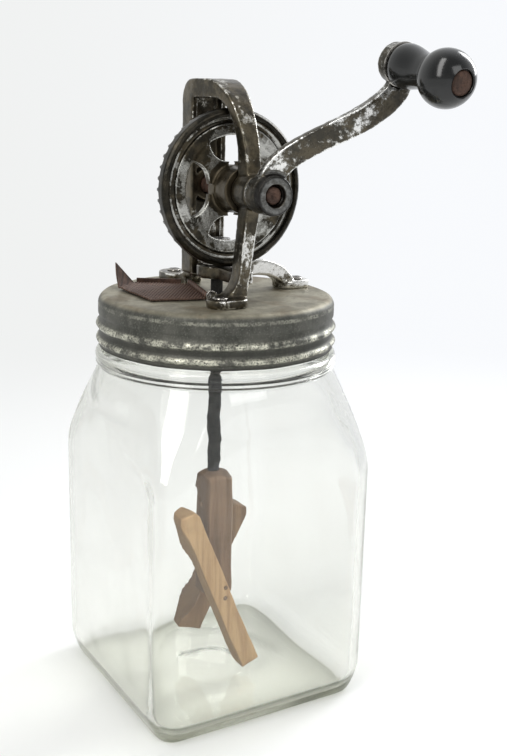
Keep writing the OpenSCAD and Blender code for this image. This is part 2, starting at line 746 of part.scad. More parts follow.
// The arm seen along its width: it leaves the hub and bends out in front of the lid.
module arm_side() {
  steps = 12;
  bend = [for (i = [0 : steps]) let(s = arm_bend * i / steps) [s, arm_depth(s)]];
  line = concat([[-arm_w, arm_y]], bend, [[throw + arm_w, knob_y]]);
  half = [0, arm_t / 2];
  polygon(concat([for (p = line) p + half], [for (i = [len(line) - 1 : -1 : 0]) line[i] - half]));
}

module crank_arm() color([0.34, 0.31, 0.27]) {
  difference() {
    union() {
      on_shaft() translate([0, 0, crank_back]) cylinder(r = crank_hub_r, h = crank_hub_l);
      on_shaft() rotate(rest_a) intersection() {
        linear_extrude(knob_y + arm_t) arm_outline();
        rotate([90, 0, 0]) linear_extrude(2 * throw, center = true) arm_side();
      }
      on_handle() cylinder(r = end_boss_r, h = end_boss_l, center = true);
    }
    on_shaft() translate([0, 0, crank_back - cut]) cylinder(r = shaft_r + fix_gap, h = crank_hub_l + 2 * cut);
    on_shaft() translate([0, 0, crank_front - recess_d]) cylinder(r = recess_r, h = recess_d + cut);
    on_shaft() shaft_pin_hole(crank_pin_y, 4 * crank_hub_r);
    on_handle() cylinder(r = knob_pin_r + fix_gap, h = 2 * end_boss_l, center = true);
    on_handle() translate([0, 0, end_boss_l / 2]) cylinder(r = knob_foot_r + pass_gap, h = arm_t);
  }
}

module crank_pin() color([0.35, 0.33, 0.3]) cross_pin(crank_pin_y, 2 * crank_hub_r);

// Places along the knob's pin, measured from the middle of the arm's end boss
washer_at = end_boss_l / 2;
knob_at = washer_at + washer_t + seat_gap;
head_at = knob_at + knob_l - pin_head_t;

module handle_pin() color([0.32, 0.2, 0.15]) {
  on_handle() {
    translate([0, 0, -end_boss_l / 2 - cut]) cylinder(r = knob_pin_r, h = end_boss_l / 2 + cut + head_at);
    translate([0, 0, head_at]) cylinder(r = pin_head_r, h = pin_head_t);
  }
}

module handle_washer() color([0.5, 0.48, 0.44]) {
  on_handle() translate([0, 0, washer_at]) ring(knob_foot_r, knob_pin_r + fix_gap, washer_t);
}

module handle_knob() color([0.07, 0.07, 0.075]) {
  ball_at = knob_l - ball_r + pin_head_t;
  meet_a = acos((knob_waist_r - cut) / ball_r);
  waist_at = ball_at - ball_r * sin(meet_a);
  foot_l = waist_at / 3;
  ball = arc(0, ball_at, ball_r, -meet_a, 90 - asin((pin_head_r + 2 * seat_gap) / ball_r), 16);
  waist = ellipse(knob_foot_r, waist_at, knob_foot_r - knob_waist_r, waist_at - foot_l, 270, 180, 6);
  outline = concat([[0, 0], [knob_foot_r - seat_gap, 0]], waist, ball, [[0, ball[16][1]]]);
  on_handle() translate([0, 0, knob_at]) difference() {
    rotate_extrude() polygon(outline);
    translate([0, 0, -cut]) cylinder(r = knob_pin_r + run_gap, h = knob_l + 2 * cut);
    translate([0, 0, knob_l - pin_head_t - seat_gap])
      cylinder(r = pin_head_r + seat_gap, h = pin_head_t + ball_r);
  }
}

module dasher_rod() color([0.24, 0.23, 0.22]) {
  difference() {
    translate([0, 0, stem_top - rod_in_stem]) cylinder(r = rod_r, h = rod_top - stem_top + rod_in_stem);
    translate([0, 0, pinion_pin_z]) rotate([0, 90, 0])
      cylinder(r = pin_r + fix_gap, h = 4 * rod_r, center = true);
    rotate(dasher_turn) translate([0, 0, stem_pin_z]) rotate([0, 90, 0])
      cylinder(r = pin_r + fix_gap, h = 4 * rod_r, center = true);
  }
}

// Heights of the rod's two cross pins
pinion_pin_z = pinion_z + pinion_l + pinion_collar_l / 2;
stem_pin_z = stem_top - rod_in_stem / 2;

module pinion() color([0.2, 0.18, 0.16]) {
  tooth = [
    [pinion_root_w / 2, pinion_root_r - seat_gap], [pinion_root_w / 2, pinion_root_r],
    [pinion_tip_w / 2, pinion_tip_r]
  ];
  difference() {
    union() {
      translate([0, 0, pinion_z]) linear_extrude(pinion_l) {
        circle(pinion_root_r);
        for (i = [0 : pinion_teeth - 1])
          rotate(i * 360 / pinion_teeth) polygon(concat(tooth, mirrored(tooth)));
      }
      translate([0, 0, pinion_z + pinion_l]) cylinder(r = pinion_collar_r, h = pinion_collar_l);
    }
    translate([0, 0, pinion_z - cut]) cylinder(r = rod_r + fix_gap, h = pinion_l + pinion_collar_l + 2 * cut);
    translate([0, 0, pinion_pin_z]) rotate([0, 90, 0])
      cylinder(r = pin_r + fix_gap, h = 4 * pinion_collar_r, center = true);
  }
}

module pinion_pin() color([0.35, 0.33, 0.3]) {
  translate([0, 0, pinion_pin_z]) rotate([0, 90, 0])
    cylinder(r = pin_r, h = 2 * pinion_collar_r + cut, center = true);
}

module rod_washer() color([0.3, 0.28, 0.26]) {
  translate([0, 0, hub_top + seat_gap]) ring(pinion_root_r, rod_r + fix_gap, washer_t);
}

module dasher_stem() color([0.42, 0.3, 0.2]) {
  dome_r = stem_w;
  rotate(dasher_turn) difference() {
    intersection() {
      translate([-stem_w / 2, -stem_w / 2, stem_z]) cube([stem_w, stem_w, stem_l]);
      translate([0, 0, stem_z - cut]) cylinder(r = stem_w / sqrt(2) - stem_bevel, h = stem_l + 2 * cut);
      translate([0, 0, stem_top - dome_r]) union() {
        sphere(dome_r);
        translate([0, 0, -stem_l]) cylinder(r = dome_r, h = stem_l);
      }
    }
    translate([0, 0, stem_top - rod_in_stem - cut]) cylinder(r = rod_r + fix_gap, h = rod_in_stem + 2 * cut);
    translate([0, 0, stem_pin_z]) rotate([0, 90, 0])
      cylinder(r = pin_r + fix_gap, h = 2 * stem_w, center = true);
    for (side = [-1, 1]) nail_holes(side);
  }
}

module stem_pin() color([0.3, 0.28, 0.26]) {
  rotate(dasher_turn) translate([0, 0, stem_pin_z]) rotate([0, 90, 0])
    cylinder(r = pin_r, h = stem_w, center = true);
}

// Puts a shape on the axis of each nail of one paddle, pointing out of the stem. Side -1 is the front.
module nails_at(side) {
  for (i = [0, 1]) translate([side * nail_set, 0, stem_z + (i + 0.5) * nail_gap]) rotate([-90 * side, 0, 0])
    translate([0, 0, stem_w / 2 - nail_grip]) children();
}

module nail_holes(side) {
  nails_at(side) translate([0, 0, -seat_gap]) cylinder(r = nail_r + fix_gap, h = nail_grip + paddle_t + cut);
}

// A slanted wooden paddle on the front or the rear of the stem
module paddle(side, length) {
  point = paddle_w / 3;
  half = [[paddle_w / 2, -length / 2], [paddle_w / 2, length / 2 - point], [point, length / 2]];
  rotate(dasher_turn) difference() {
    translate([side * paddle_shift, side * paddle_y, paddle_z]) rotate([90, 0, 0])
      linear_extrude(paddle_t, center = true) rotate(-side * paddle_a) polygon(concat(half, mirrored(half)));
    nail_holes(side);
  }
}

module paddle_front() color([0.62, 0.47, 0.33]) paddle(-1, paddle_l);

module paddle_rear() color([0.52, 0.38, 0.26]) paddle(1, rear_paddle_l);

module paddle_nails() color([0.3, 0.28, 0.26]) {
  rotate(dasher_turn) for (side = [-1, 1]) nails_at(side) cylinder(r = nail_r, h = nail_grip + paddle_t);
}

glass_jar();
screw_lid();
gear_frame();
foot_rivets();
vent_screen();
vent_wire();
crank_shaft();
shaft_washer();
shaft_collar();
collar_pin();
drive_gear();
gear_pin();
crank_arm();
crank_pin();
handle_pin();
handle_washer();
handle_knob();
dasher_rod();
pinion();
pinion_pin();
rod_washer();
dasher_stem();
stem_pin();
paddle_front();
paddle_rear();
paddle_nails();
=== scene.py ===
"""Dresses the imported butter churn: thick glass, worn castings, zinc, wood and a plain studio round it."""

import functools
import math

import bmesh
import bpy
import numpy as np
from mathutils import Matrix, Vector, noise


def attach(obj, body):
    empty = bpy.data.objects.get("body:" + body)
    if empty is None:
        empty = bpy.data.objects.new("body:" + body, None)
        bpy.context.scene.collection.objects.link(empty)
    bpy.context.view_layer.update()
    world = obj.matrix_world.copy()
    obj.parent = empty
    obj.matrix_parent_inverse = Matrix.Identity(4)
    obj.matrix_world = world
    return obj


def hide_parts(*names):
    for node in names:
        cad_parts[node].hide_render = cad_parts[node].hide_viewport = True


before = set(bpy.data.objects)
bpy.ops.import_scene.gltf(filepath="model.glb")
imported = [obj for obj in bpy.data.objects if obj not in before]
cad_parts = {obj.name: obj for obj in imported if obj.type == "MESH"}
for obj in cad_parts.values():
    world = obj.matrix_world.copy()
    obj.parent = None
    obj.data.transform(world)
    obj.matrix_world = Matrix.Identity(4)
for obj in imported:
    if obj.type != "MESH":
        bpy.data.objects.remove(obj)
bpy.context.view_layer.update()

# Sizes in millimetres, as in the part's source
MM = 0.001
BODY_HALF = 60.0
CORNER_R = 14.0
HEEL_IN = 7.0
HEEL_H = 16.0
GLASS_T = 4.5
FLOOR_T = 4.5
SHOULDER_Z = 120.0
SHOULDER_R = 34.0
SHOULDER_TOP_R = 57.4
NECK_Z = 170.0
NECK_R = 53.5
MOUTH_R = 48.0
RIM_Z = 203.0
COLLAR_T = 8.0
LID_TOP = 204.5
LID_BOTTOM = 179.5
LID_R = 57.7
SHEET_T = 1.2
LIP_H = 3.2
SCREEN_W = 40.0
SCREEN_L = 27.0
SCREEN_REACH = 37.0
SCREEN_FLARE = 8.5
SCREEN_MARGIN = 4.5
FAR_CORNER = 13.0
VENT_A = math.radians(165)
VENT_AT = (9.2, 0.5)
AXIS_Z = 256.0
KNOB_AT = Vector((51.5896, -66.6, 313.7))
LEAN = math.radians(11)
PADDLE_SLANT = math.radians(22)

# Ribs of the screen flap: the way across them and their pitch
RIB_WAY = (0.80, -0.60)
RIB_PITCH = 1.5

# Points closer than these, in millimetres, are one point in a new mesh and in a CAD mesh
MESH_MERGE = 0.004
CAD_MERGE = 0.002

# Uneven skins as (feature size, depth) pairs in millimetres, and how far a seed shifts their noise
CAST_SKIN = ((4.0, 0.12), (1.4, 0.05))
WOOD_SKIN = ((9.0, 0.22), (2.5, 0.08))
SEED_STEPS = (17.3, 5.1, 9.7)

# Turned shapes end this close to their axis
AXIS_R = 0.02


# Mesh helpers

def dress(obj, material):
    """Gives an object one material."""
    obj.data.materials.clear()
    obj.data.materials.append(material)


def new_object(name, data):
    """A new object in the scene."""
    obj = bpy.data.objects.new(name, data)
    bpy.context.scene.collection.objects.link(obj)
    return obj


def piece(name, mesh, body, nodes, material):
    """A new object that rides on a body, stands for CAD nodes and has one material."""
    obj = new_object(name, mesh)
    dress(obj, material)
    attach(obj, body)
    if nodes:
        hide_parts(*nodes)
    return obj


def merge_doubles(mesh, gap, outwards=False):
    """Merges points closer than a gap in millimetres, and can turn the normals outwards."""
    work = bmesh.new()
    work.from_mesh(mesh)
    bmesh.ops.remove_doubles(work, verts=work.verts, dist=gap * MM)
    if outwards:
        bmesh.ops.recalc_face_normals(work, faces=work.faces)
    work.to_mesh(mesh)
    work.free()


def mesh_of(name, parts):
    """One mesh from lists of points in millimetres and faces, with doubles merged and normals outwards."""
    points = []
    faces = []
    for part_points, part_faces in parts:
        base = len(points)
        points += [Vector(p) * MM for p in part_points]
        faces += [[base + i for i in face] for face in part_faces]
    mesh = bpy.data.meshes.new(name)
    mesh.from_pydata(points, [], faces)
    merge_doubles(mesh, MESH_MERGE, outwards=True)
    return mesh


def soften(mesh, angle):
    """Smooth shading, with edges sharper than the angle kept crisp."""
    mesh.shade_smooth()
    mesh.set_sharp_from_angle(angle=math.radians(angle))


def spread(low, high, count):
    """Evenly spaced numbers from low to high."""
    return np.linspace(low, high, count).tolist()


def turns_of(count):
    """Evenly spaced angles round a circle."""
    return [2 * math.pi * i / count for i in range(count)]


def loft(rings, loop=False):
    """Points and faces of a skin over closed rings of the same count, with end caps or closed in a loop."""
    count = len(rings[0])
    points = [tuple(p) for ring in rings for p in ring]
    faces = []
    last = len(rings) if loop else len(rings) - 1
    for k in range(last):
        a = k * count
        b = (k + 1) % len(rings) * count
        for i in range(count):
            j = (i + 1) % count
            faces.append((a + i, a + j, b + j, b + i))
    if not loop:
        faces.append(tuple(range(count - 1, -1, -1)))
        faces.append(tuple(range((len(rings) - 1) * count, len(rings) * count)))
    return points, faces


def lathe(profile, segments, place=Vector, loop=False):
    """Points and faces of a turned shape from (radius, height) pairs, placed by a function."""
    rings = []
    for r, z in profile:
        rings.append([place((r * math.cos(a), r * math.sin(a), z)) for a in turns_of(segments)])
    return loft(rings, loop=loop)


def arc(cx, cy, r, a0, a1, steps, ry=None):
    """Points on a circle or ellipse arc, angles in degrees."""
    ry = r if ry is None else ry
    angles = [math.radians(a0 + (a1 - a0) * i / steps) for i in range(steps + 1)]
    return [(cx + r * math.cos(a), cy + ry * math.sin(a)) for a in angles]


def slab(low, high, place):
    """Points and faces of a box between two corners, placed by a function."""
    (x0, y0, z0), (x1, y1, z1) = low, high
    corners = ((x0, y0), (x1, y0), (x1, y1), (x0, y1))
    points = [place((x, y, z)) for z in (z0, z1) for x, y in corners]
    sides = [(i, (i + 1) % 4, (i + 1) % 4 + 4, i + 4) for i in range(4)]
    return points, [(3, 2, 1, 0), (4, 5, 6, 7)] + sides


def on_shaft(p):
    """From a shape drawn along +Z to the shaft, pointing at the crank."""
    return Vector((p[0], -p[2], AXIS_Z + p[1]))


def on_handle(p):
    """From a shape drawn along +Z to the knob's leaning pin."""
    return KNOB_AT + Matrix.Rotation(math.pi / 2 + LEAN, 3, "X") @ Vector(p)


def on_vent(p):
    """From a shape drawn outwards along +X over the pour opening to the lid."""
    moved = Vector((p[0] + VENT_AT[0], p[1] + VENT_AT[1], p[2]))
    return Matrix.Rotation(VENT_A, 3, "Z") @ moved


def on_lip(p):
    """From a shape drawn along the flap's flared rear edge to the lid."""
    x, y, z = Matrix.Rotation(-math.atan(SCREEN_FLARE / SCREEN_L), 3, "Z") @ Vector(p)
    return on_vent((x, y - SCREEN_W / 2, z))


def smooth_min(a, b, k):
    """The smaller of two lengths, rounded over a width k."""
    if k <= 0:
        return min(a, b)
    h = max(k - abs(a - b), 0.0) / k
    return min(a, b) - h * h * k / 4


def smooth_step(a, b, x):
    """A clamped 0 to 1 rise between a and b."""
    t = min(max((x - a) / (b - a), 0.0), 1.0)
    return t * t * (3 - 2 * t)


def applied(obj):
    """Puts the result of an object's modifiers into its mesh."""
    graph = bpy.context.evaluated_depsgraph_get()
    obj.data = bpy.data.meshes.new_from_object(obj.evaluated_get(graph))
    obj.modifiers.clear()


def wobble(mesh, size, depth, seed):
    """Moves points along their normals by smooth noise of a feature size and depth in millimetres."""
    normals = [v.normal.copy() for v in mesh.vertices]
    shift = Vector([seed * step for step in SEED_STEPS])
    for v, normal in zip(mesh.vertices, normals):
        v.co += normal * (noise.noise(v.co / (size * MM) + shift) * depth * MM)
    mesh.update()


def shaped(name, parts, body, nodes, material, angle=50, skin=None):
    """A piece from points and faces, with soft edges and maybe an uneven skin."""
    mesh = mesh_of(name, parts)
    if skin:
        wobble(mesh, **skin)
    soften(mesh, angle)
    piece(name, mesh, body, nodes, material)


def cast_copy(name, node, body, material, voxel, rounds, skin=CAST_SKIN):
    """A CAD solid's form with its edges rounded and its skin slightly uneven."""
    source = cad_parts[node].data.copy()
    merge_doubles(source, CAD_MERGE)
    obj = piece(name, source, body, [node], material)
    remesh = obj.modifiers.new("skin", "REMESH")
    remesh.mode = "VOXEL"
    remesh.voxel_size = voxel * MM
    ease = obj.modifiers.new("ease", "SMOOTH")
    ease.factor = 0.5
    ease.iterations = rounds
    applied(obj)
    for seed, (size, depth) in enumerate(skin, start=1):
        wobble(obj.data, size, depth, seed)
    obj.data.shade_smooth()
    dress(obj, material)


# Material helpers

class Graph:
    """Adds nodes to a tree and links them."""

    def __init__(self, tree):
        self.tree = tree

    def add(self, kind, **props):
        """A new node with its properties set."""
        node = self.tree.nodes.new(kind)
        for key, value in props.items():
            setattr(node, key, value)
        return node

    def feed(self, socket, value):
        """Links an output to an input, or sets a plain value there."""
        if isinstance(value, bpy.types.NodeSocket):
            self.tree.links.new(value, socket)
        else:
            socket.default_value = value

    def math(self, operation, a, b=0.5):
        """A math node. Some operations read only the first value."""
        node = self.add("ShaderNodeMath", operation=operation)
        self.feed(node.inputs[0], a)
        self.feed(node.inputs[1], b)
        return node.outputs[0]

    def times(self, a, b):
        return self.math("MULTIPLY", a, b)

    def plus(self, a, b):
        return self.math("ADD", a, b)

    def less(self, a, b):
        return self.math("SUBTRACT", a, b)

    def largest(self, *values):
        return functools.reduce(functools.partial(self.math, "MAXIMUM"), values)

    def weighted(self, *zones):
        """Values added up, each times its weight."""
        total = 0.0
        for zone, weight in zones:
            total = self.plus(self.times(zone, weight), total)
        return total

    def band(self, value, low, high):
        """A clamped 0 to 1 rise between two values."""
        node = self.add("ShaderNodeMapRange", clamp=True, interpolation_type="SMOOTHSTEP")
        self.feed(node.inputs["Value"], value)
        node.inputs["From Min"].default_value = low
        node.inputs["From Max"].default_value = high
        return node.outputs["Result"]

    def share(self, most, value, low, high):
        """A clamped rise between two values, from 0 to a share of 1."""
        return self.times(self.band(value, low, high), most)

    def mix(self, share, a, b):
        """A colour between a and b."""
        node = self.add("ShaderNodeMix", data_type="RGBA")
        self.feed(node.inputs["Factor"], share)
        for socket, value in ((node.inputs[6], a), (node.inputs[7], b)):
            self.feed(socket, value if isinstance(value, bpy.types.NodeSocket) else (*value, 1))
        return node.outputs[2]

    def blend(self, share, a, b):
        """A number between a and b."""
        node = self.add("ShaderNodeMix", data_type="FLOAT")
        self.feed(node.inputs["Factor"], share)
        self.feed(node.inputs[2], a)
        self.feed(node.inputs[3], b)
        return node.outputs[0]

    def choose(self, share, first, second):
        """A shader between the first and the second."""
        node = self.add("ShaderNodeMixShader")
        self.feed(node.inputs["Fac"], share)
        self.feed(node.inputs[1], first)
        self.feed(node.inputs[2], second)
        return node.outputs["Shader"]

    def vector(self, operation, way, axis=None):
        """A vector math node on a direction, with an axis where the operation takes one."""
        node = self.add("ShaderNodeVectorMath", operation=operation)
        self.feed(node.inputs[0], way)
        if axis:
            node.inputs[1].default_value = axis
        return node.outputs


class Paint(Graph):
    """A Principled material that is built up from procedural nodes. Places are in millimetres."""

    NEAR_CORE = 0.35

    def __init__(self, name, **values):
        self.material = bpy.data.materials.new(name)
        self.material.use_nodes = True
        super().__init__(self.material.node_tree)
        self.shader = self.tree.nodes["Principled BSDF"]
        self.output = self.tree.nodes["Material Output"]
        self.place = self.add("ShaderNodeTexCoord").outputs["Object"]
        self.set(**values)

    def set(self, **sockets):
        """Feeds the shader's inputs, with underscores for the spaces in their names."""
        for name, value in sockets.items():
            self.feed(self.shader.inputs[name.replace("_", " ")], value)

    def mapped(self, scale, turn=(0, 0, 0)):
        """The place, stretched and turned."""
        node = self.add("ShaderNodeMapping")
        self.feed(node.inputs["Vector"], self.place)
        node.inputs["Scale"].default_value = scale
        node.inputs["Rotation"].default_value = turn
        return node.outputs["Vector"]

    def noise(self, size, detail=4.0, rough=0.55, place=None, warp=0.0):
        """Cloudy noise with a feature size."""
        node = self.add("ShaderNodeTexNoise")
        self.feed(node.inputs["Vector"], place or self.place)
        node.inputs["Scale"].default_value = 1.0 / (size * MM)
        node.inputs["Detail"].default_value = detail
        node.inputs["Roughness"].default_value = rough
        node.inputs["Distortion"].default_value = warp
        return node.outputs["Fac"]

    def edges(self, low, high):
        """High on convex edges of a dense mesh."""
        return self.band(self.add("ShaderNodeNewGeometry").outputs["Pointiness"], low, high)

    def along(self, vector, axis):
        """A vector's part along an axis."""
        node = self.add("ShaderNodeSeparateXYZ")
        self.feed(node.inputs["Vector"], vector)
        return node.outputs[axis]

    def height(self, axis="Z"):
        """Where a point lies along an axis."""
        return self.along(self.place, axis)

    def facing(self, axis):
        """How far the surface faces along an axis of its own frame."""
        return self.along(self.add("ShaderNodeTexCoord").outputs["Normal"], axis)

    def above_shaft(self):
        """Height over the crank shaft's axis."""
        return self.less(self.height(), AXIS_Z * MM)

    def from_shaft(self):
        """Distance from the crank shaft's axis."""
        across = self.math("POWER", self.height("X"), 2.0)
        return self.math("SQRT", self.plus(across, self.math("POWER", self.above_shaft(), 2.0)))

    def span(self, value, low, high):
        """A 0 to 1 rise between two places."""
        return self.band(value, low * MM, high * MM)

    def short_of(self, value, low, high):
        """A fall from 1 to 0 between two places."""
        return self.less(1.0, self.span(value, low, high))

    def near(self, value, centre, half):
        """1 at a centre, falling to 0 at half the width away."""
        gap = self.math("ABSOLUTE", self.less(value, centre * MM))
        return self.short_of(gap, half * self.NEAR_CORE, half)

    def bump(self, value, strength, depth):
        """Raises the surface by a value, over a depth."""
        node = self.add("ShaderNodeBump")
        node.inputs["Strength"].default_value = strength
        node.inputs["Distance"].default_value = depth * MM
        self.feed(node.inputs["Height"], value)
        self.feed(self.shader.inputs["Normal"], node.outputs["Normal"])

    def surface(self, shader):
        self.feed(self.output.inputs["Surface"], shader)


def darker(colour, share):
    return [c * share for c in colour]


# Worn castings, with some painted light and shade: tones from dark patina to bright plating, and places as
# (low, high) or (centre, half width)

FRAME_TONES = ((0.044, 0.038, 0.026), (0.105, 0.087, 0.056), (0.24, 0.225, 0.185), (0.76, 0.75, 0.71))
WHEEL_TONES = ((0.026, 0.023, 0.016), (0.080, 0.066, 0.042), (0.25, 0.245, 0.22), (0.46, 0.455, 0.42))
CRANK_TONES = ((0.042, 0.038, 0.029), (0.090, 0.076, 0.052), (0.25, 0.245, 0.225), (0.78, 0.775, 0.75))
STEEL_TONES = ((0.030, 0.027, 0.023), (0.075, 0.062, 0.048), (0.14, 0.13, 0.115), (0.40, 0.38, 0.35))
# Dark grime for fine specks in the patina, also the colour of painted shade rings on the crank hub.
GRIME_AND_SHADE = (0.010, 0.009, 0.008)
HUB_BROWN = (0.072, 0.057, 0.035)
GREASE = ((0.009, 0.009, 0.007), (0.040, 0.034, 0.024))
HUB_GREY = ((0.085, 0.083, 0.074), (0.20, 0.20, 0.19))
LEG_FOOT_Z = (222, 226)
REAR_CHANNEL_Y = (12, 16)
FRONT_LEG_Y = (-29, -33)
SIDE_LEG_X = (10, 16)
BEARING_R = (12.5, 14.5)
SPOKES_R = (21, 12.5)
BRIGHT_RING_R = (32.2, 0.8)
TOOTH_BAND_R = (32.5, 33.5)
WHEEL_HUB_WEAR_R = (11.5, 14.5)
WHEEL_HUB_R = (11.5, 13.5)
ARM_ACROSS = (0.745, 0.667)
ARM_STRIP = (3.5, 4)
CRANK_HUB_WEAR_R = (12, 24)
CRANK_HUB_R = (10.5, 11.5)
CRANK_END_Y = (-47.5, -49)
HUB_SHADE_RINGS_R = ((8.9, 1.7), (4.6, 1.0))


def worn_plating(name, tones, amount, wear_and_light=None, finish_and_shade=None, coat=0.25, fleck=0.5):
    """Old cast iron: brown patina, grey where the plating is thin and bright where it is left."""
    dark, warm, grey, bright = tones
    paint = Paint(name, Metallic=0.9, Coat_Weight=coat, Coat_Roughness=0.22)
    patches = paint.noise(15, detail=6, rough=0.62, warp=0.5)
    flecks = paint.noise(2.2, detail=8, rough=0.75)
    grain = paint.noise(0.6, detail=4, rough=0.65)
    worn = paint.weighted((patches, 1.05 - fleck), (flecks, fleck), (paint.edges(0.503, 0.54), 0.12))
    # Zones of the caller: wear, and on the frame painted light as well.
    if wear_and_light:
        worn = paint.plus(worn, wear_and_light(paint))
    patina = paint.mix(paint.band(paint.noise(8, detail=6, rough=0.65), 0.4, 0.62), dark, warm)
    patina = paint.mix(paint.share(0.6, grain, 0.52, 0.7), patina, GRIME_AND_SHADE)
    thin = paint.band(worn, amount, amount + 0.035)
    left = paint.band(paint.plus(worn, paint.times(grain, 0.08)), amount + 0.085, amount + 0.115)
    colour = paint.mix(left, paint.mix(thin, patina, grey), bright)
    # The caller's finish adds its own colours, and on the crank painted shade as well.
    if finish_and_shade:
        colour = finish_and_shade(paint, colour)
    rough = paint.blend(thin, paint.blend(paint.noise(3, detail=5), 0.2, 0.44), 0.34)
    paint.set(Base_Color=colour, Roughness=paint.blend(left, rough, 0.2))
    paint.bump(paint.weighted((flecks, 0.6), (thin, 0.2), (grain, 0.25)), strength=0.45, depth=0.3)
    return paint.material


def frame_wear_and_light(paint):
    """More plating is left on two legs and none on the bearing; painted light makes +X-facing sides and the
    shaded rear channel brighter and -X-facing sides darker.
    """
    front = paint.span(paint.height("Y"), *FRONT_LEG_Y)
    front = paint.times(front, paint.band(paint.facing("Y"), -0.5, -0.9))
    low = paint.short_of(paint.height(), *LEG_FOOT_Z)
    return paint.weighted(
        # Painted light: brighter towards +X and darker towards -X, and brighter in the shaded rear channel.
        (paint.facing("X"), 0.05),
        (paint.span(paint.height("Y"), *REAR_CHANNEL_Y), 0.05),
        (front, 0.03),
        (paint.times(low, paint.span(paint.height("X"), *SIDE_LEG_X)), 0.13),
        (paint.short_of(paint.from_shaft(), *BEARING_R), -0.12),
    )


def wheel_wear(paint):
    """Bare bright ring and spokes between a greasy hub and a dark toothed band."""
    reach = paint.from_shaft()
    return paint.weighted(
        (paint.near(reach, *SPOKES_R), 0.10),
        (paint.near(reach, *BRIGHT_RING_R), 0.14),
        (paint.span(reach, *TOOTH_BAND_R), -0.2),
        (paint.short_of(reach, *WHEEL_HUB_WEAR_R), -0.2),
    )


def wheel_finish(paint, colour):
    """Old grease darkens the toothed band, and the hub is a smooth brown."""
    reach = paint.from_shaft()
    colour = paint.mix(paint.times(paint.short_of(reach, *WHEEL_HUB_R), 0.75), colour, HUB_BROWN)
    rubbed = paint.band(paint.noise(6, detail=6, rough=0.7), 0.42, 0.66)
    toothed = paint.times(paint.span(reach, *TOOTH_BAND_R), 0.8)
    return paint.mix(toothed, colour, paint.mix(rubbed, *GREASE))


def hub_end(paint):
    """1 on the crank hub's outer end."""
    inside = paint.short_of(paint.from_shaft(), *CRANK_HUB_R)
    return paint.times(inside, paint.span(paint.height("Y"), *CRANK_END_Y))


def crank_wear(paint):
    """Plating is left along the arm's lower edge and round the hub, but not on the hub's end."""
    right, up = ARM_ACROSS
    across = paint.less(paint.times(paint.height("X"), right), paint.times(paint.above_shaft(), up))
    return paint.weighted(
        (paint.near(across, *ARM_STRIP), 0.08),
        (paint.short_of(paint.from_shaft(), *CRANK_HUB_WEAR_R), 0.06),
        (hub_end(paint), -0.4),
    )


def crank_finish_and_shade(paint, colour):
    """The hub's flat grey end, with painted shade in a ring at its outline and in a ring round the shaft."""
    reach = paint.from_shaft()
    flat = paint.times(paint.band(paint.facing("Y"), -0.80, -0.95), hub_end(paint))
    spots = paint.band(paint.noise(2.5, detail=6, rough=0.7), 0.4, 0.62)
    colour = paint.mix(flat, colour, paint.mix(spots, *HUB_GREY))
    # Painted shade: dark rings at the end's rounded outline and round the shaft's hole.
    rings = paint.largest(*(paint.near(reach, *ring) for ring in HUB_SHADE_RINGS_R))
    return paint.mix(paint.times(paint.times(rings, hub_end(paint)), 0.9), colour, GRIME_AND_SHADE)


# Glass

GLASS_TONE = (0.99, 0.992, 0.988, 1)
GLASS_CLEAR = (0.885, 0.89, 0.87)
GLASS_HEEL = (0.40, 0.41, 0.37)
GLASS_DEPTH = (0.785, 0.789, 0.73, 1)
GLASS_DENSITY = 54.0
LET_OUT = 0.35
HEEL_SOFT = (30, 54)
HEEL_RIM = (46, 53)
HEEL_Z = (18, 6)


def heel_shade(paint):
    """1 in the thick heel round the jar's base, which bends most light away from the floor."""
    reach = paint.largest(*(paint.math("ABSOLUTE", paint.height(axis)) for axis in "XY"))
    round_base = paint.weighted((paint.span(reach, *HEEL_SOFT), 0.6), (paint.span(reach, *HEEL_RIM), 0.4))
    return paint.times(round_base, paint.span(paint.height(), *HEEL_Z))


def glass():
    """Clear glass with a grey-green depth. Lamps and rays caught inside its walls pass straight out."""
    paint = Paint("glass", Base_Color=GLASS_TONE, Roughness=0.0, IOR=1.5, Transmission_Weight=1.0)
    clear = paint.add("ShaderNodeBsdfTransparent")
    paint.feed(clear.inputs["Color"], paint.mix(heel_shade(paint), GLASS_CLEAR, GLASS_HEEL))
    path = paint.add("ShaderNodeLightPath").outputs
    through = paint.largest(path["Is Shadow Ray"], paint.times(path["Is Reflection Ray"], LET_OUT))
    paint.surface(paint.choose(through, paint.shader.outputs["BSDF"], clear.outputs["BSDF"]))
    depth = paint.add("ShaderNodeVolumeAbsorption")
    depth.inputs["Color"].default_value = GLASS_DEPTH
    depth.inputs["Density"].default_value = GLASS_DENSITY
    paint.feed(paint.output.inputs["Volume"], depth.outputs["Volume"])
    return paint.material


# Lid zinc: tones, and heights as (low, high) or (centre, half width)

ZINC_GREY = ((0.050, 0.051, 0.042), (0.095, 0.094, 0.080))
ZINC_STREAK = (0.125, 0.122, 0.105)
ZINC_SPECK = (0.20, 0.195, 0.17)
ZINC_TAN = ((0.185, 0.170, 0.124), (0.345, 0.32, 0.245))
TAN_SPECK = (0.10, 0.085, 0.06)
TAN_SPILL = (0.16, 0.12, 0.070)
TAN_DULL = (0.105, 0.098, 0.075)
ZINC_BRIGHT = (0.62, 0.61, 0.50)
ZINC_GROOVE = (0.030, 0.030, 0.024)
ZINC_RUST = (0.085, 0.050, 0.028)
LID_TOP_Z = (202.2, 204.2)
BEAD_CROWNS_Z = ((190.3, 2.1), (183.2, 1.9))
EDGE_CROWN_Z = (200.5, 1.2)
GROOVES_Z = ((186.7, 1.6), (180.0, 0.8))


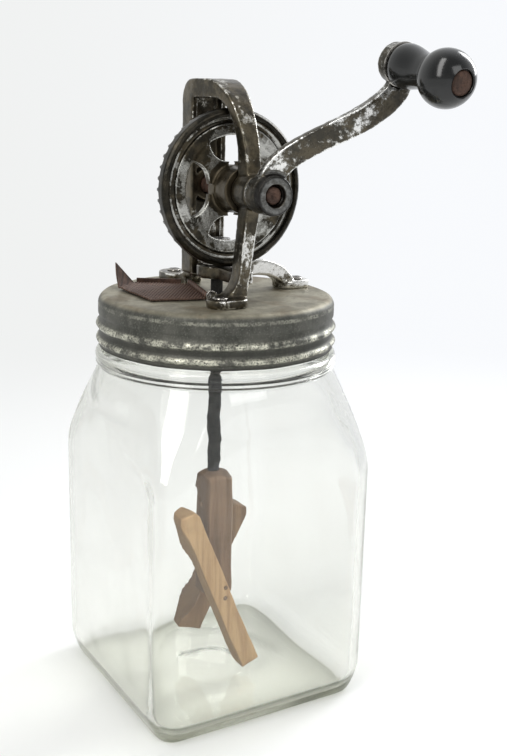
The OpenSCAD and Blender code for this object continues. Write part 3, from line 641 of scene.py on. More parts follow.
def zinc():
    """The lid's dull speckled zinc, bright on the crowns of its beads and tan on its top."""
    paint = Paint("lid_zinc", Metallic=0.55)
    z = paint.height()
    cloud = paint.noise(11, detail=6, rough=0.6)
    speck = paint.noise(0.9, detail=6, rough=0.72)
    streak = paint.noise(2.2, detail=4, rough=0.6, place=paint.mapped(scale=(1, 1, 0.35)))
    grey = paint.mix(paint.band(cloud, 0.35, 0.68), *ZINC_GREY)
    grey = paint.mix(paint.share(0.35, streak, 0.46, 0.7), grey, ZINC_STREAK)
    grey = paint.mix(paint.share(0.55, speck, 0.52, 0.66), grey, ZINC_SPECK)
    tan = paint.mix(paint.band(cloud, 0.32, 0.66), *ZINC_TAN)
    tan = paint.mix(paint.share(0.4, speck, 0.55, 0.72), tan, TAN_SPECK)
    tan = paint.mix(paint.share(0.6, paint.noise(20, detail=5, rough=0.6), 0.5, 0.66), tan, TAN_SPILL)
    tan = paint.mix(paint.share(0.5, paint.noise(6, detail=7, rough=0.72), 0.52, 0.66), tan, TAN_DULL)
    beads = [(paint.near(z, *crown), 1.0) for crown in BEAD_CROWNS_Z]
    crown = paint.weighted(*beads, (paint.near(z, *EDGE_CROWN_Z), 0.35))
    crown = paint.times(crown, paint.band(paint.noise(9, detail=5, rough=0.7), 0.38, 0.6))
    crown = paint.times(crown, paint.band(speck, 0.40, 0.52))
    colour = paint.mix(paint.span(z, *LID_TOP_Z), grey, tan)
    colour = paint.mix(crown, colour, ZINC_BRIGHT)
    grooves = paint.plus(*(paint.near(z, *groove) for groove in GROOVES_Z))
    colour = paint.mix(paint.times(grooves, 0.6), colour, ZINC_GROOVE)
    rust = paint.share(0.75, paint.noise(13, detail=6, rough=0.72), 0.66, 0.73)
    colour = paint.mix(rust, colour, ZINC_RUST)
    paint.set(Base_Color=colour, Roughness=paint.blend(crown, paint.blend(speck, 0.42, 0.62), 0.28))
    paint.bump(paint.plus(paint.times(speck, 0.5), cloud), strength=0.3, depth=0.22)
    return paint.material


# Rust, wood and black paint

PAINT_BLACK = (0.006, 0.0065, 0.0065)
PAINT_RUBBED = (0.028, 0.027, 0.025)


def rusty(name, dark, warm, metal=0.35, ribs=False):
    """Brown rust with darker spots, and on a ribbed sheet painted shade in the grooves between ribs."""
    paint = Paint(name, Metallic=metal)
    cloud = paint.noise(4, detail=7, rough=0.7)
    grain = paint.noise(0.6, detail=4, rough=0.65)
    colour = paint.mix(paint.band(cloud, 0.35, 0.65), dark, warm)
    colour = paint.mix(paint.share(0.6, grain, 0.5, 0.7), colour, darker(dark, 0.35))
    if ribs:
        way = paint.plus(*(paint.times(paint.height(axis), part) for axis, part in zip("XY", RIB_WAY)))
        wave = paint.math("SINE", paint.times(way, 2 * math.pi / (RIB_PITCH * MM)))
        # Painted shade in the grooves between the ribs.
        colour = paint.mix(paint.share(0.65, wave, 0.2, -0.9), colour, darker(dark, 0.3))
    paint.set(Base_Color=colour, Roughness=paint.blend(grain, 0.45, 0.85))
    paint.bump(paint.plus(grain, cloud), strength=0.6, depth=0.2)
    return paint.material


def wood(name, pale, brown, slant):
    """Old wood, its grain along the piece, its edges rubbed pale and its end dark, with painted shade on its
    left side.
    """
    paint = Paint(name, Specular_IOR_Level=0.25)
    grain_place = paint.mapped(scale=(1, 1, 0.06), turn=(0, slant, 0))
    fibre = paint.noise(0.9, detail=6, rough=0.65, place=grain_place)
    figure = paint.noise(4.5, detail=4, rough=0.55, place=grain_place, warp=0.5)
    stain = paint.noise(22, detail=5, rough=0.6)
    colour = paint.mix(paint.band(figure, 0.36, 0.64), brown, pale)
    colour = paint.mix(paint.share(0.35, fibre, 0.5, 0.72), colour, darker(brown, 0.55))
    colour = paint.mix(paint.share(0.4, stain, 0.5, 0.72), colour, darker(brown, 0.6))
    colour = paint.mix(paint.times(paint.edges(0.51, 0.58), 0.25), colour, pale)
    # Painted shade darkens the left-facing side; the top end is dark end grain.
    left_shade = paint.share(0.75, paint.facing("X"), -0.35, -0.85)
    top_end = paint.share(0.5, paint.facing("Z"), 0.5, 0.9)
    colour = paint.mix(paint.largest(left_shade, top_end), colour, darker(brown, 0.42))
    paint.set(Base_Color=colour, Roughness=paint.blend(fibre, 0.55, 0.8))
    paint.bump(fibre, strength=0.4, depth=0.2)
    return paint.material


def black_paint():
    """Glossy black paint on turned wood, rubbed and dusty in places."""
    paint = Paint("black_wood", Specular_IOR_Level=0.4, Coat_Weight=0.3, Coat_Roughness=0.1)
    scuff = paint.noise(5, detail=7, rough=0.7)
    hair = paint.noise(0.8, detail=4, rough=0.6)
    colour = paint.mix(paint.share(0.25, scuff, 0.58, 0.74), PAINT_BLACK, PAINT_RUBBED)
    paint.set(Base_Color=colour, Roughness=paint.blend(scuff, 0.1, 0.26))
    paint.bump(paint.plus(scuff, paint.times(hair, 0.4)), strength=0.12, depth=0.22)
    return paint.material


GLASS = glass()
ZINC = zinc()
FRAME_IRON = worn_plating("frame_iron", FRAME_TONES, 0.575, frame_wear_and_light)
WHEEL_IRON = worn_plating("wheel_iron", WHEEL_TONES, 0.60, wheel_wear, wheel_finish, coat=0.1, fleck=0.3)
CRANK_IRON = worn_plating("crank_iron", CRANK_TONES, 0.585, crank_wear, crank_finish_and_shade)
STEEL = worn_plating("steel", STEEL_TONES, 0.57)
RUST = rusty("rusty_steel", (0.045, 0.024, 0.016), (0.115, 0.062, 0.042))
SCREEN = rusty("screen_rust", (0.085, 0.045, 0.030), (0.150, 0.085, 0.058), metal=0.2, ribs=True)
ROD_IRON = rusty("rod_iron", (0.014, 0.014, 0.013), (0.048, 0.046, 0.042), metal=0.4)
NAIL = rusty("nail_rust", (0.17, 0.105, 0.060), (0.27, 0.175, 0.105), metal=0.2)
BLACK = black_paint()
STEM_WOOD = wood("stem_wood", (0.26, 0.168, 0.104), (0.17, 0.102, 0.058), 0)
FRONT_WOOD = wood("front_wood", (0.56, 0.37, 0.20), (0.41, 0.255, 0.13), PADDLE_SLANT)
# The rear paddle is the front paddle's wood, painted darker as shade.
SHADED_REAR_WOOD = wood("rear_wood_shaded", (0.32, 0.20, 0.11), (0.215, 0.13, 0.067), -PADDLE_SLANT)


# Glass jar: counts of points and rings, and how the square walls flow into the round shoulder

CORNER_STEPS = 16
FLAT_STEPS = 44
EASE_ROUNDS = 7
WALL_RINGS = 44
NECK_RINGS = 40
INNER_SHOULDER_RINGS = 28
SHOULDER_SLACK = 0.4
BLEND_W = 14.0
BLEND_Z = (SHOULDER_Z - 4, SHOULDER_Z + 20)
DRAW_Z = (NECK_Z - 34, NECK_Z)
CORNER_SPAN = (1.08, 1.25)
CORNER_CRISP = 0.4
ROUND_FROM_Z = NECK_Z - 22
HEEL_SLOPE = 0.4
LIP_ROUND = 1.6
INNER_HEEL_IN = 7.0
INNER_HEEL_H = 11.0
INNER_HEEL_CORNER = 0.4
FLOOR_SHARES = (0.86, 0.7, 0.5, 0.3, 0.12, 0.01)
FLOOR_DIP = 0.35
WAVE_SIZE = 26.0
WAVE_DEPTH = 0.006
THREAD_PITCH = 7.0
THREAD_START = 181.0
THREAD_RISE = 1.4
THREAD_HALF = 1.5
THREAD_FADE_IN = (180.5, 183)
THREAD_FADE_OUT = (191, 194)

# Radius and height along the hollow underside, with its round mark, and along the collar's flat band
BASE_PROFILE = (
    (0.5, 1.9), (12, 1.9), (14.5, 1.85), (16, 1.5), (17.2, 1.25),
    (18.5, 1.3), (21, 1.4), (32, 1.2), (38, 0.4), (44, 0.05),
)
COLLAR_PROFILE = (
    (57.4, 170.8), (58.3, 170.9), (58.9, 171.3), (59.15, 172), (58.95, 172.7), (58.85, 172.95),
    (59.05, 173.3), (59.2, 174.5), (59.15, 176), (58.8, 177), (57.8, 177.8), (55.5, 178.2),
)


def shoulder_radius(z, inset):
    """Radius of the round shoulder at a height, drawn in by a wall thickness."""
    reach = (BODY_HALF - CORNER_R) * math.sqrt(2) + CORNER_R + SHOULDER_SLACK
    run = Vector((SHOULDER_TOP_R - reach + SHOULDER_R, NECK_Z - SHOULDER_Z))
    turn = math.atan2(run.y, run.x) - math.acos(SHOULDER_R / run.length)
    if z <= SHOULDER_Z:
        return reach - inset
    curve = SHOULDER_R - inset
    if z <= SHOULDER_Z + curve * math.sin(turn):
        return reach - SHOULDER_R + math.sqrt(curve * curve - (z - SHOULDER_Z) ** 2)
    return SHOULDER_TOP_R - inset / math.cos(turn) + (NECK_Z - z) * math.tan(turn)


def eased(ring, rounds):
    """The ring with its bends spread out, so that the corners flow into the flats."""
    for _ in range(rounds):
        before = ring[-1:] + ring[:-1]
        after = ring[1:] + ring[:1]
        ring = [(a + 2 * p + b) / 4 for a, p, b in zip(before, ring, after)]
    return ring


@functools.lru_cache
def square_ring(half, r):
    """Points of a square with round corners."""
    ring = []
    side = half - r
    for q in range(4):
        turn = Matrix.Rotation(q * math.pi / 2, 2)
        corner = [(side + x, side + y) for x, y in arc(0, 0, r, 0, 90, CORNER_STEPS)]
        flat = [(side - 2 * side * i / FLAT_STEPS, half) for i in range(1, FLAT_STEPS)]
        ring += [turn @ Vector(p) for p in corner + flat]
    return eased(ring, EASE_ROUNDS)


def jar_ring(z, half, r, inset, round_share=0.0):
    """One ring of the jar's skin: square below, drawn to a circle by the shoulder."""
    limit = shoulder_radius(z, inset)
    width = BLEND_W * smooth_step(*BLEND_Z, z)
    draw = 1 - (1 - (SHOULDER_TOP_R - inset) / half) * smooth_step(*DRAW_Z, z)
    ring = []
    for p in square_ring(half, r):
        corner = smooth_step(half * CORNER_SPAN[0], half * CORNER_SPAN[1], p.length)
        length = smooth_min(p.length * draw, limit, width * (1 - CORNER_CRISP * corner))
        length += (limit - length) * round_share
        ring.append((p.x / p.length * length, p.y / p.length * length, z))
    return ring


def round_ring(radius, z):
    """A circle with its points on the same rays as a square ring's."""
    like = square_ring(BODY_HALF, CORNER_R)
    return [(p.x / p.length * radius, p.y / p.length * radius, z) for p in like]


def thread(z, angle):
    """Height of the screw ridge on the neck: a turn and a half of a rounded helix."""
    rise = 0.0
    for turn in (0, 1):
        at = THREAD_START + THREAD_PITCH * (turn + (angle + math.pi) / (2 * math.pi))
        fade = smooth_step(*THREAD_FADE_IN, at) * (1 - smooth_step(*THREAD_FADE_OUT, at))
        rise = max(rise, THREAD_RISE * fade * math.exp(-(((z - at) / THREAD_HALF) ** 2)))
    return rise


def threaded_ring(z):
    """One ring of the neck, with the screw ridge where it passes."""
    ring = []
    for p in square_ring(BODY_HALF, CORNER_R):
        radius = NECK_R + thread(z, math.atan2(p.y, p.x))
        ring.append((p.x / p.length * radius, p.y / p.length * radius, z))
    return ring


def inner_ring(z, round_share=0.0):
    """One ring of the inner wall, with the slight waves of pressed glass."""
    ring = jar_ring(z, BODY_HALF - GLASS_T, CORNER_R - GLASS_T, GLASS_T, round_share)
    waves = [1.0 + WAVE_DEPTH * noise.noise(Vector(p) / WAVE_SIZE) for p in ring]
    return [(x * k, y * k, z) for (x, y, _), k in zip(ring, waves)]


def heel_curve():
    """The heel from the base up to the wall: a rounded slope rather than a quarter circle."""
    curve = []
    for x, z in arc(-HEEL_IN, HEEL_H, HEEL_IN, -90, 0, 12, HEEL_H):
        slope = -HEEL_IN * (1 - z / HEEL_H)
        curve.append((x + (slope - x) * HEEL_SLOPE, z))
    return curve


def outer_rings():
    """The jar's outside, from the middle of its hollow base up to the rim."""
    rings = [round_ring(r, z) for r, z in BASE_PROFILE]
    rings += [jar_ring(z, BODY_HALF + x, CORNER_R + x, 0) for x, z in heel_curve()]
    for z in spread(HEEL_H + 3, SHOULDER_Z, WALL_RINGS):
        rings.append(jar_ring(z, BODY_HALF, CORNER_R, 0))
    for z in spread(SHOULDER_Z + 2, NECK_Z + 0.6, NECK_RINGS):
        rings.append(jar_ring(z, BODY_HALF, CORNER_R, 0, smooth_step(ROUND_FROM_Z, NECK_Z - 1, z)))
    rings += [round_ring(r, z) for r, z in COLLAR_PROFILE]
    rings += [threaded_ring(z) for z in spread(NECK_Z + COLLAR_T + 0.6, RIM_Z - 2, NECK_RINGS)]
    lip = (NECK_R - MOUTH_R) / 2
    rings += [round_ring(r, z) for r, z in arc(MOUTH_R + lip, RIM_Z - LIP_ROUND, lip, 0, 180, 8, LIP_ROUND)]
    return rings


def inner_rings():
    """The jar's inside, from the mouth down to the middle of its floor."""
    rings = [round_ring(MOUTH_R, NECK_Z + 12), round_ring(MOUTH_R + 0.6, NECK_Z + 7)]
    for z in spread(NECK_Z + 3, SHOULDER_Z, INNER_SHOULDER_RINGS):
        rings.append(inner_ring(z, smooth_step(ROUND_FROM_Z, NECK_Z - 2, z)))
    rings += [inner_ring(z) for z in spread(SHOULDER_Z - 3, FLOOR_T + INNER_HEEL_H + 2, WALL_RINGS)]
    for x, z in reversed(arc(-INNER_HEEL_IN, FLOOR_T + INNER_HEEL_H, INNER_HEEL_IN, -90, 0, 9, INNER_HEEL_H)):
        corner = CORNER_R - GLASS_T + x * INNER_HEEL_CORNER
        rings.append(jar_ring(z, BODY_HALF - GLASS_T + x, corner, GLASS_T))
    floor_edge = rings[-1]
    for share in FLOOR_SHARES:
        z = FLOOR_T - FLOOR_DIP * (1 - share)
        rings.append([(x * share, y * share, z) for x, y, _ in floor_edge])
    return rings


def build_jar():
    mesh = mesh_of("jar_glass", [loft(outer_rings() + inner_rings())])
    mesh.shade_smooth()
    piece("jar_glass", mesh, "jar", ["glass_jar"], GLASS)


build_jar()


# Screw lid: its rounded edge, the hole for the rod and two rolled thread beads as (height, half width)

LID_EDGE_R = 4.2
LID_EDGE_IN_R = 3.0
ROD_HOLE_R = 3.6
LID_FLAT_R = (20, 46)
BEADS = ((190.1, 1.9), (183.0, 1.7))
BEADS_Z = (194.6, 181.2)
BEAD_FOOT = 0.85
BEAD_RISE = 1.9
LID_SEGMENTS = 200
LIP_BACK = (-1.8, -0.6)


def lid_outside():
    """(radius, height) from the rod's hole over the edge and the beads to the rolled bottom."""
    flats = [(r, LID_TOP) for r in LID_FLAT_R]
    outline = [(ROD_HOLE_R, LID_TOP - 0.05), *flats, (51.5, LID_TOP - 0.1)]
    outline += arc(LID_R - LID_EDGE_R, LID_TOP - LID_EDGE_R, LID_EDGE_R, 84, 4, 9)
    outline += [(LID_R, 198.5), (LID_R, 196.4), (LID_R - 0.1, 195.3)]
    for z in spread(*BEADS_Z, 40):
        wave = sum(math.exp(-(((z - at) / half) ** 2)) for at, half in BEADS)
        outline.append((LID_R - BEAD_FOOT + BEAD_RISE * wave, z))
    return outline + [(LID_R - 0.3, 180.4), (LID_R - 0.2, 179.9), (LID_R - 0.6, LID_BOTTOM)]


def lid_inside():
    """(radius, height) from the rolled bottom back up to the rod's hole."""
    outline = [(LID_R - 1.6, LID_BOTTOM + 0.1), (LID_R - 1.9, 180.4), (LID_R - 1.5, 195), (LID_R - 1.2, 199)]
    outline += arc(LID_R - LID_EDGE_R, LID_TOP - LID_EDGE_R, LID_EDGE_IN_R, 8, 84, 6)
    flats = [(r, LID_TOP - SHEET_T) for r in reversed(LID_FLAT_R)]
    return outline + flats + [(ROD_HOLE_R, LID_TOP - SHEET_T)]


def cut_pour_opening(lid):
    """Cuts the hole under the screen flap."""
    far = SCREEN_L - SCREEN_MARGIN
    side = SCREEN_W / 2 - SCREEN_MARGIN
    block = slab((SCREEN_MARGIN, -side, LID_TOP - 3), (far, side, LID_TOP + 2), on_vent)
    knife = new_object("knife", mesh_of("knife", [block]))
    hole = lid.modifiers.new("hole", "BOOLEAN")
    hole.object = knife
    hole.solver = "EXACT"
    applied(lid)
    bpy.data.objects.remove(knife)


def build_lid():
    mesh = mesh_of("lid_shell", [lathe(lid_outside() + lid_inside(), LID_SEGMENTS, loop=True)])
    lid = piece("lid_shell", mesh, "lid", ["screw_lid"], ZINC)
    cut_pour_opening(lid)
    wobble(lid.data, size=16.0, depth=0.28, seed=3)
    soften(lid.data, 50)
    low = (SCREEN_MARGIN, LIP_BACK[0], LID_TOP - SHEET_T)
    high = (SCREEN_L, LIP_BACK[1], LID_TOP + LIP_H)
    shaped("lid_lip", [slab(low, high, on_lip)], "lid", [], RUST, angle=30)


build_lid()


# Castings

cast_copy("frame_casting", "gear_frame", "lid", FRAME_IRON, voxel=0.5, rounds=20)
cast_copy("wheel_casting", "drive_gear", "crank", WHEEL_IRON, voxel=0.42, rounds=6)
cast_copy("crank_casting", "crank_arm", "crank", CRANK_IRON, voxel=0.5, rounds=14)


# Knob and its pin, measured along the pin from the arm's boss

KNOB_START = 4.3
KNOB_L = 40.5
KNOB_BORE_R = 2.9
FOOT_R = 9.7
FOOT_H = 3.2
WAIST_R = 7.7
BALL_R = 12.4
BALL_CUT = 1.8
BALL_NECK = 0.6
SEAT_MOUTH_R = 6.2
SEAT_R = 5.6
SEAT_DEPTH = 2.1
PIN_R = 2.8
PIN_BACK = -4.3
PIN_HEAD_SINK = 1.8


def knob_outline():
    """(radius, height) round the knob's section: foot, waist, ball and the seat of the pin's head."""
    ball_z = KNOB_L - BALL_R + BALL_CUT
    meet = math.degrees(math.acos((WAIST_R - BALL_NECK) / BALL_R))
    low = ball_z - BALL_R * math.sin(math.radians(meet))
    outline = [(KNOB_BORE_R, 0.15), (FOOT_R - 1.6, 0.1), (FOOT_R - 0.7, 0.5), (FOOT_R - 0.2, 1.6)]
    outline.append((FOOT_R, FOOT_H))
    for t in spread(0.12, 0.98, 16):
        radius = FOOT_R + (WAIST_R - FOOT_R) * smooth_step(0.0, 0.8, t)
        outline.append((radius, FOOT_H + (low - FOOT_H) * t))
    mouth = 90 - math.degrees(math.asin(SEAT_MOUTH_R / BALL_R))
    outline += arc(0, ball_z, BALL_R, -meet, mouth, 26)[1:]
    top = outline[-1][1]
    seat = KNOB_L - SEAT_DEPTH
    return outline + [(SEAT_R + 0.15, top - 0.25), (SEAT_R, top - 0.8), (SEAT_R, seat), (KNOB_BORE_R, seat)]


def build_knob():
    outline = [(r, z + KNOB_START) for r, z in knob_outline()]
    turned = lathe(outline, 72, on_handle, loop=True)
    skin = dict(size=14.0, depth=0.1, seed=5)
    shaped("knob_turned", [turned], "knob", ["handle_knob"], BLACK, skin=skin)


def build_handle_pin():
    head = KNOB_START + KNOB_L - PIN_HEAD_SINK
    outline = [(AXIS_R, PIN_BACK), (2.2, PIN_BACK), (PIN_R, PIN_BACK + 0.4), (PIN_R, head), (5.2, head)]
    outline += [(5.3, head + 0.5), (5.0, head + 1.2), (4.0, head + 1.6), (2.2, head + 1.75)]
    outline += [(1.2, head + 1.45), (AXIS_R, head + 1.35)]
    turned = lathe(outline, 48, on_handle)
    skin = dict(size=2.0, depth=0.12, seed=6)
    shaped("knob_rivet", [turned], "crank", ["handle_pin"], RUST, skin=skin)


def build_handle_washer():
    outline = [(KNOB_BORE_R, 3.02), (9.0, 3.0), (9.6, 3.2), (FOOT_R, 3.5), (9.6, 3.8), (9.0, 4.0)]
    outline.append((KNOB_BORE_R, 3.98))
    turned = lathe(outline, 64, on_handle, loop=True)
    shaped("knob_washer", [turned], "crank", ["handle_washer"], STEEL, angle=40)


build_knob()
build_handle_pin()
build_handle_washer()


# Shaft with its turned ends, from the rear end to the crank's end

SHAFT_R = 4.0
SHAFT_BACK = -27.8
SHAFT_END = 51.0


def build_shaft():
    end = SHAFT_END
    outline = [(AXIS_R, SHAFT_BACK), (3.2, SHAFT_BACK), (SHAFT_R, SHAFT_BACK + 0.8), (SHAFT_R, end - 0.9)]
    outline += [(3.5, end - 0.15), (2.6, end), (1.6, end - 0.05), (1.1, end - 0.6), (AXIS_R, end - 0.9)]
    turned = lathe(outline, 48, on_shaft)
    skin = dict(size=1.8, depth=0.1, seed=7)
    shaped("shaft_turned", [turned], "crank", ["crank_shaft"], RUST, skin=skin)


build_shaft()


# Rivets of the feet: their places on the lid and their (radius, height) over its top

RIVETS_AT = ((46, 0), (0, 46.5), (-17, -34.5))
RIVET_PROFILE = (
    (AXIS_R, -1.2), (2.0, -1.2), (2.0, 4.0), (3.4, 4.0), (3.6, 4.3),
    (3.4, 4.7), (2.7, 5.05), (1.7, 5.25), (AXIS_R, 5.3),
)


def build_rivets():
    parts = []
    for x, y in RIVETS_AT:
        points, faces = lathe(RIVET_PROFILE, 32)
        parts.append(([Vector(p) + Vector((x, y, LID_TOP)) for p in points], faces))
    skin = dict(size=1.5, depth=0.15, seed=8)
    shaped("rivet_heads", parts, "lid", ["foot_rivets"], STEEL, skin=skin)


build_rivets()


# Screen flap, drawn outwards from its hinge

FAR = Vector((SCREEN_REACH, -FAR_CORNER))
REAR = Vector((SCREEN_L, -SCREEN_W / 2 - SCREEN_FLARE))
SCREEN_OUTLINE = ((0, SCREEN_W / 2), (SCREEN_L, SCREEN_W / 2), FAR, REAR, (0, -SCREEN_W / 2))
PLATE_Z = LID_TOP + 0.3
PLATE_RISE = 0.62
GRID_MIDDLE = (18.5, -4.5)
GRID_HALF = (19.5, 26.0)
GRID_STEPS = (190, 250)
RIB_H = 0.2
CURL_H = 0.5
CURL_X = (24, 37)
DENT_H = 0.35
DENT_SIZE = 14.0
TIP_H = 12.4
TIP_LEAN = 0.12
TIP_BOW = 0.4
TIP_LIFT = 0.9
TIP_STEPS = 14
SCREEN_T = 0.55
ROLL_Z = 206.66
ROLL_PROFILE = ((0.92, -20), (1.2, -20), (1.3, -19.8), (1.3, 19.8), (1.2, 20), (0.92, 20))
LOOP_AT = Vector((-1.0, 23.2, LID_TOP + 2.8))
LOOP_R = 2.3
LOOP_WIRE_R = 0.4


def plate_height(x, y):
    """Height of the ribbed plate, slightly dented and curling up at its far end."""
    spot = on_vent((x, y, 0))
    way = spot.x * RIB_WAY[0] + spot.y * RIB_WAY[1]
    rib = RIB_H * math.sin(way * 2 * math.pi / RIB_PITCH)
    dent = DENT_H * abs(noise.noise(Vector((x, y, 0)) / DENT_SIZE))
    return PLATE_Z + PLATE_RISE + rib + (CURL_H * smooth_step(*CURL_X, x) + dent)


def screen_plate():
    """Points and faces of the plate: a fine grid cut to the outline and pressed into ribs."""
    work = bmesh.new()
    bmesh.ops.create_grid(work, x_segments=GRID_STEPS[0], y_segments=GRID_STEPS[1], size=1.0)
    for v in work.verts:
        x = GRID_MIDDLE[0] + v.co.x * GRID_HALF[0]
        y = GRID_MIDDLE[1] + v.co.y * GRID_HALF[1]
        v.co = Vector((x, y, 0))
    for i, a in enumerate(SCREEN_OUTLINE):
        b = SCREEN_OUTLINE[(i + 1) % len(SCREEN_OUTLINE)]
        outwards = (a[1] - b[1], b[0] - a[0], 0)
        geom = work.verts[:] + work.edges[:] + work.faces[:]
        bmesh.ops.bisect_plane(work, geom=geom, plane_co=(a[0], a[1], 0), plane_no=outwards, clear_outer=True)
    work.verts.index_update()
    points = [on_vent((v.co.x, v.co.y, plate_height(v.co.x, v.co.y))) for v in work.verts]
    faces = [[v.index for v in f.verts] for f in work.faces]
    work.free()
    return points, faces


def screen_tip():
    """Points and faces of the tip that is bent up along the far edge."""
    along = REAR - FAR
    out = Vector((-along.y, along.x)).normalized()
    count = TIP_STEPS + 1
    points = []
    for t in spread(0, 1, count):
        for s in spread(0, 1, count):
            rise = TIP_H * (1 - s) * t
            bow = TIP_BOW * math.sin(math.pi * t) * (1 - s)
            flat = FAR + along * s + out * (TIP_LEAN * rise + bow)
            lift = TIP_LIFT * (1 - 0.4 * s)
            points.append(on_vent((flat.x, flat.y, PLATE_Z + lift + rise)))
    starts = [j * count + i for j in range(TIP_STEPS) for i in range(TIP_STEPS)]
    return points, [(k, k + 1, k + count + 1, k + count) for k in starts]


def on_roll(p):
    """From a shape drawn along +Z to the flap's hinge roll."""
    return on_vent((p[0], p[2], ROLL_Z + p[1]))


def build_screen():
    mesh = mesh_of("screen_flap", [screen_plate(), screen_tip()])
    flap = piece("screen_flap", mesh, "flap", ["vent_screen"], SCREEN)
    thick = flap.modifiers.new("thick", "SOLIDIFY")
    thick.thickness = SCREEN_T * MM
    thick.offset = 0
    applied(flap)
    soften(flap.data, 40)
    roll = lathe(ROLL_PROFILE, 28, on_roll, loop=True)
    shaped("screen_roll", [roll], "flap", [], SCREEN, angle=40)


def build_wire_loop():
    """Bent end of the hinge wire, standing as a small loop by the front post."""
    rings = []
    for a in turns_of(32):
        out = Vector((math.cos(a), 0, math.sin(a)))
        side = Vector((0, 1, 0))
        middle = LOOP_AT + out * LOOP_R
        section = [(out * math.cos(b) + side * math.sin(b)) * LOOP_WIRE_R for b in turns_of(8)]
        rings.append([on_vent(middle + p) for p in section])
    shaped("wire_loop", [loft(rings, loop=True)], "lid", [], STEEL, angle=60)


build_screen()
build_wire_loop()


# Dasher rod: smooth in its bearing and in the stem, rough and lumpy between

ROD_Z = (79.8, 231.3)
ROD_RINGS = 151
ROD_SIDES = 28
ROD_R = 2.95
ROUGH_FROM_Z = (108, 122)
ROUGH_TO_Z = (196, 203)
LUMP_L = 4.2
LUMP_ROUND = 1.2
SWAY_L = 21.0
SWAY = 0.35


def rod_ring(z):
    """One ring of the rod, with its rust lumps and slight bends."""
    rough = smooth_step(*ROUGH_FROM_Z, z) * (1 - smooth_step(*ROUGH_TO_Z, z))
    sway = rough * SWAY * noise.noise(Vector((0.3, 2.1, z / SWAY_L)))
    ring = []
    for a in turns_of(ROD_SIDES):
        spot = Vector((math.cos(a) * LUMP_ROUND, math.sin(a) * LUMP_ROUND, z / LUMP_L))
        lump = noise.noise(spot) * 0.75 + noise.noise(spot * 2.7) * 0.35
        r = ROD_R + rough * (0.3 + 0.75 * lump)
        ring.append((r * math.cos(a) + sway, r * math.sin(a) + sway * 0.6, z))
    return ring


def build_rod():
    rings = [rod_ring(z) for z in spread(*ROD_Z, ROD_RINGS)]
    shaped("rod_rough", [loft(rings)], "dasher", ["dasher_rod"], ROD_IRON, angle=60)


build_rod()


# Stem, paddles and pinion

BOARDS = (
    ("stem_block", "dasher_stem", STEM_WOOD),
    ("front_board", "paddle_front", FRONT_WOOD),
    ("rear_board", "paddle_rear", SHADED_REAR_WOOD),
)
for board, board_node, board_wood in BOARDS:
    cast_copy(board, board_node, "dasher", board_wood, voxel=0.6, rounds=8, skin=WOOD_SKIN)
cast_copy("pinion_casting", "pinion", "dasher", STEEL, voxel=0.3, rounds=3)


# Small CAD pieces that keep their shape, and the width of their rounded edges

SMALL_STEEL = (
    "vent_wire", "shaft_washer", "shaft_collar", "collar_pin", "gear_pin", "crank_pin", "pinion_pin",
    "rod_washer",
)
SMALL_NAILS = ("stem_pin", "paddle_nails")
EDGE_W = 0.2
WIDER_EDGES = {"vent_wire": 0.25, "shaft_collar": 0.5}
EDGE_ANGLE = math.radians(40)


def ease_small(node, material):
    """Gives a CAD piece its material and slightly rounded edges."""
    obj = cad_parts[node]
    dress(obj, material)
    weld = obj.modifiers.new("weld", "WELD")
    weld.merge_threshold = CAD_MERGE * MM
    ease = obj.modifiers.new("ease", "BEVEL")
    ease.width = WIDER_EDGES.get(node, EDGE_W) * MM
    ease.segments = 2
    ease.limit_method = "ANGLE"
    ease.angle_limit = EDGE_ANGLE


for small in SMALL_STEEL:
    ease_small(small, STEEL)
for small in SMALL_NAILS:
    ease_small(small, NAIL)


# Studio: the photo's camera, the backdrop's colours and the lamps, in metres

CAMERA_AT = Vector((-252.8, -459.2, 300.2)) * MM
CAMERA_RIGHT = (0.86087, -0.50826, 0.02404)
CAMERA_UP = (0.11003, 0.23207, 0.96645)
CAMERA_BACK = (-0.49679, -0.82934, 0.25571)
CAMERA_LENS = 51.603
CAMERA_SENSOR = 36.0
CAMERA_CLIP = (0.02, 60.0)
SKY_LEFT = (0.875, 0.885, 0.880)
SKY_RIGHT = (0.945, 0.960, 0.985)
SKY_SPAN = (-0.28, 0.22)
ROOM = (0.34, 0.345, 0.35)
ROOM_SPAN = (-0.25, 0.6)
FLOOR_HALF = 9.0
FLOOR_FADE = (0.16, 0.85)
LAMPS = (
    ("left", (-0.80, -0.36, 1.05), (0, 0, 0.14), (0.34, 1.6), 9.5, (1, 0.99, 0.97)),
    ("right", (1.15, 0.25, 0.85), (0, 0, 0.17), (0.35, 0.9), 11, (0.98, 0.99, 1)),
    ("front", (0.15, -1.5, 1.15), (0, 0, 0.18), (1.0, 0.8), 6, (1, 1, 1)),
)


def sky_mix(graph, way):
    """The backdrop's colour in a direction: a little darker at the left of the photo's view."""
    along = graph.vector("DOT_PRODUCT", way, CAMERA_RIGHT)["Value"]
    return graph.mix(graph.band(along, *SKY_SPAN), SKY_LEFT, SKY_RIGHT)


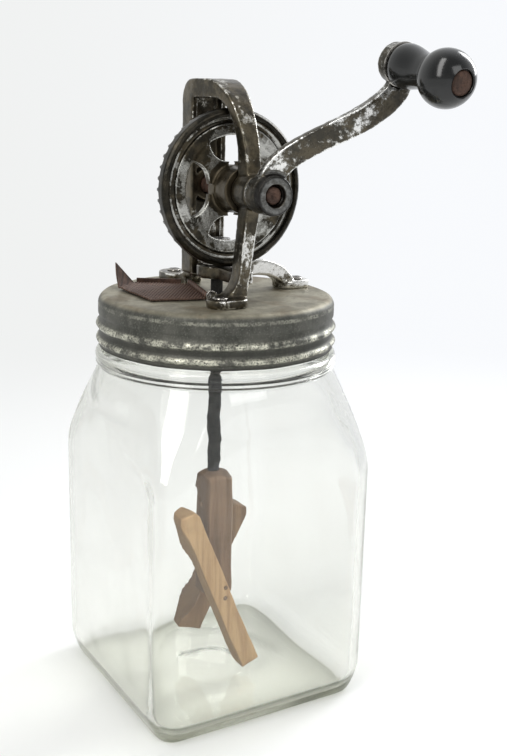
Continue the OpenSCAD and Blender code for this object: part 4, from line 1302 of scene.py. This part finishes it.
def build_floor():
    """A pale floor that keeps the shadow near the object and fades into the backdrop."""
    corners = [(x * FLOOR_HALF, y * FLOOR_HALF, 0) for x, y in ((-1, -1), (1, -1), (1, 1), (-1, 1))]
    mesh = bpy.data.meshes.new("floor")
    mesh.from_pydata(corners, [], [(0, 1, 2, 3)])
    floor = new_object("floor", mesh)
    paint = Paint("floor", Base_Color=(0.86, 0.865, 0.86, 1), Roughness=0.7, Specular_IOR_Level=0.1)
    away = paint.band(paint.vector("LENGTH", paint.place)["Value"], *FLOOR_FADE)
    way = paint.vector("NORMALIZE", paint.place)["Vector"]
    glow = paint.add("ShaderNodeEmission")
    paint.feed(glow.inputs["Color"], sky_mix(paint, way))
    path = paint.add("ShaderNodeLightPath").outputs
    seen = paint.largest(path["Is Camera Ray"], path["Is Glossy Ray"], path["Is Transmission Ray"])
    share = paint.times(away, seen)
    paint.surface(paint.choose(share, paint.shader.outputs["BSDF"], glow.outputs["Emission"]))
    mesh.materials.append(paint.material)


def build_world():
    """A pale backdrop all round, with a dimmer room on the side where the photo was taken."""
    world = bpy.data.worlds.new("studio")
    bpy.context.scene.world = world
    world.use_nodes = True
    graph = Graph(world.node_tree)
    graph.tree.nodes.clear()
    way = graph.add("ShaderNodeTexCoord").outputs["Generated"]
    sky = sky_mix(graph, way)
    seen = graph.add("ShaderNodeBackground")
    graph.feed(seen.inputs["Color"], sky)
    behind = graph.band(graph.vector("DOT_PRODUCT", way, CAMERA_BACK)["Value"], *ROOM_SPAN)
    light = graph.add("ShaderNodeBackground")
    graph.feed(light.inputs["Color"], graph.mix(behind, sky, ROOM))
    path = graph.add("ShaderNodeLightPath").outputs
    share = graph.largest(path["Is Camera Ray"], path["Is Transmission Ray"])
    mixed = graph.choose(share, light.outputs["Background"], seen.outputs["Background"])
    graph.feed(graph.add("ShaderNodeOutputWorld").inputs["Surface"], mixed)


def build_lamp(name, place, aim, size, power, colour):
    """A soft rectangular lamp that points at a place."""
    data = bpy.data.lights.new(name, "AREA")
    data.shape = "RECTANGLE"
    data.size, data.size_y = size
    data.energy = power
    data.color = colour
    obj = new_object(name, data)
    obj.location = place
    obj.rotation_mode = "QUATERNION"
    obj.rotation_quaternion = (Vector(aim) - Vector(place)).to_track_quat("-Z", "Y")


def build_camera():
    """The camera that took the photo, as fitted to the jar, the lid and the wheel."""
    data = bpy.data.cameras.new("camera")
    data.lens = CAMERA_LENS
    data.sensor_width = CAMERA_SENSOR
    data.clip_start, data.clip_end = CAMERA_CLIP
    camera = new_object("camera", data)
    turn = Matrix((CAMERA_RIGHT, CAMERA_UP, CAMERA_BACK)).transposed().to_4x4()
    camera.matrix_world = Matrix.Translation(CAMERA_AT) @ turn
    bpy.context.scene.camera = camera


build_floor()
build_world()
for lamp in LAMPS:
    build_lamp(*lamp)
build_camera()
bpy.context.scene.view_settings.view_transform = "Standard"
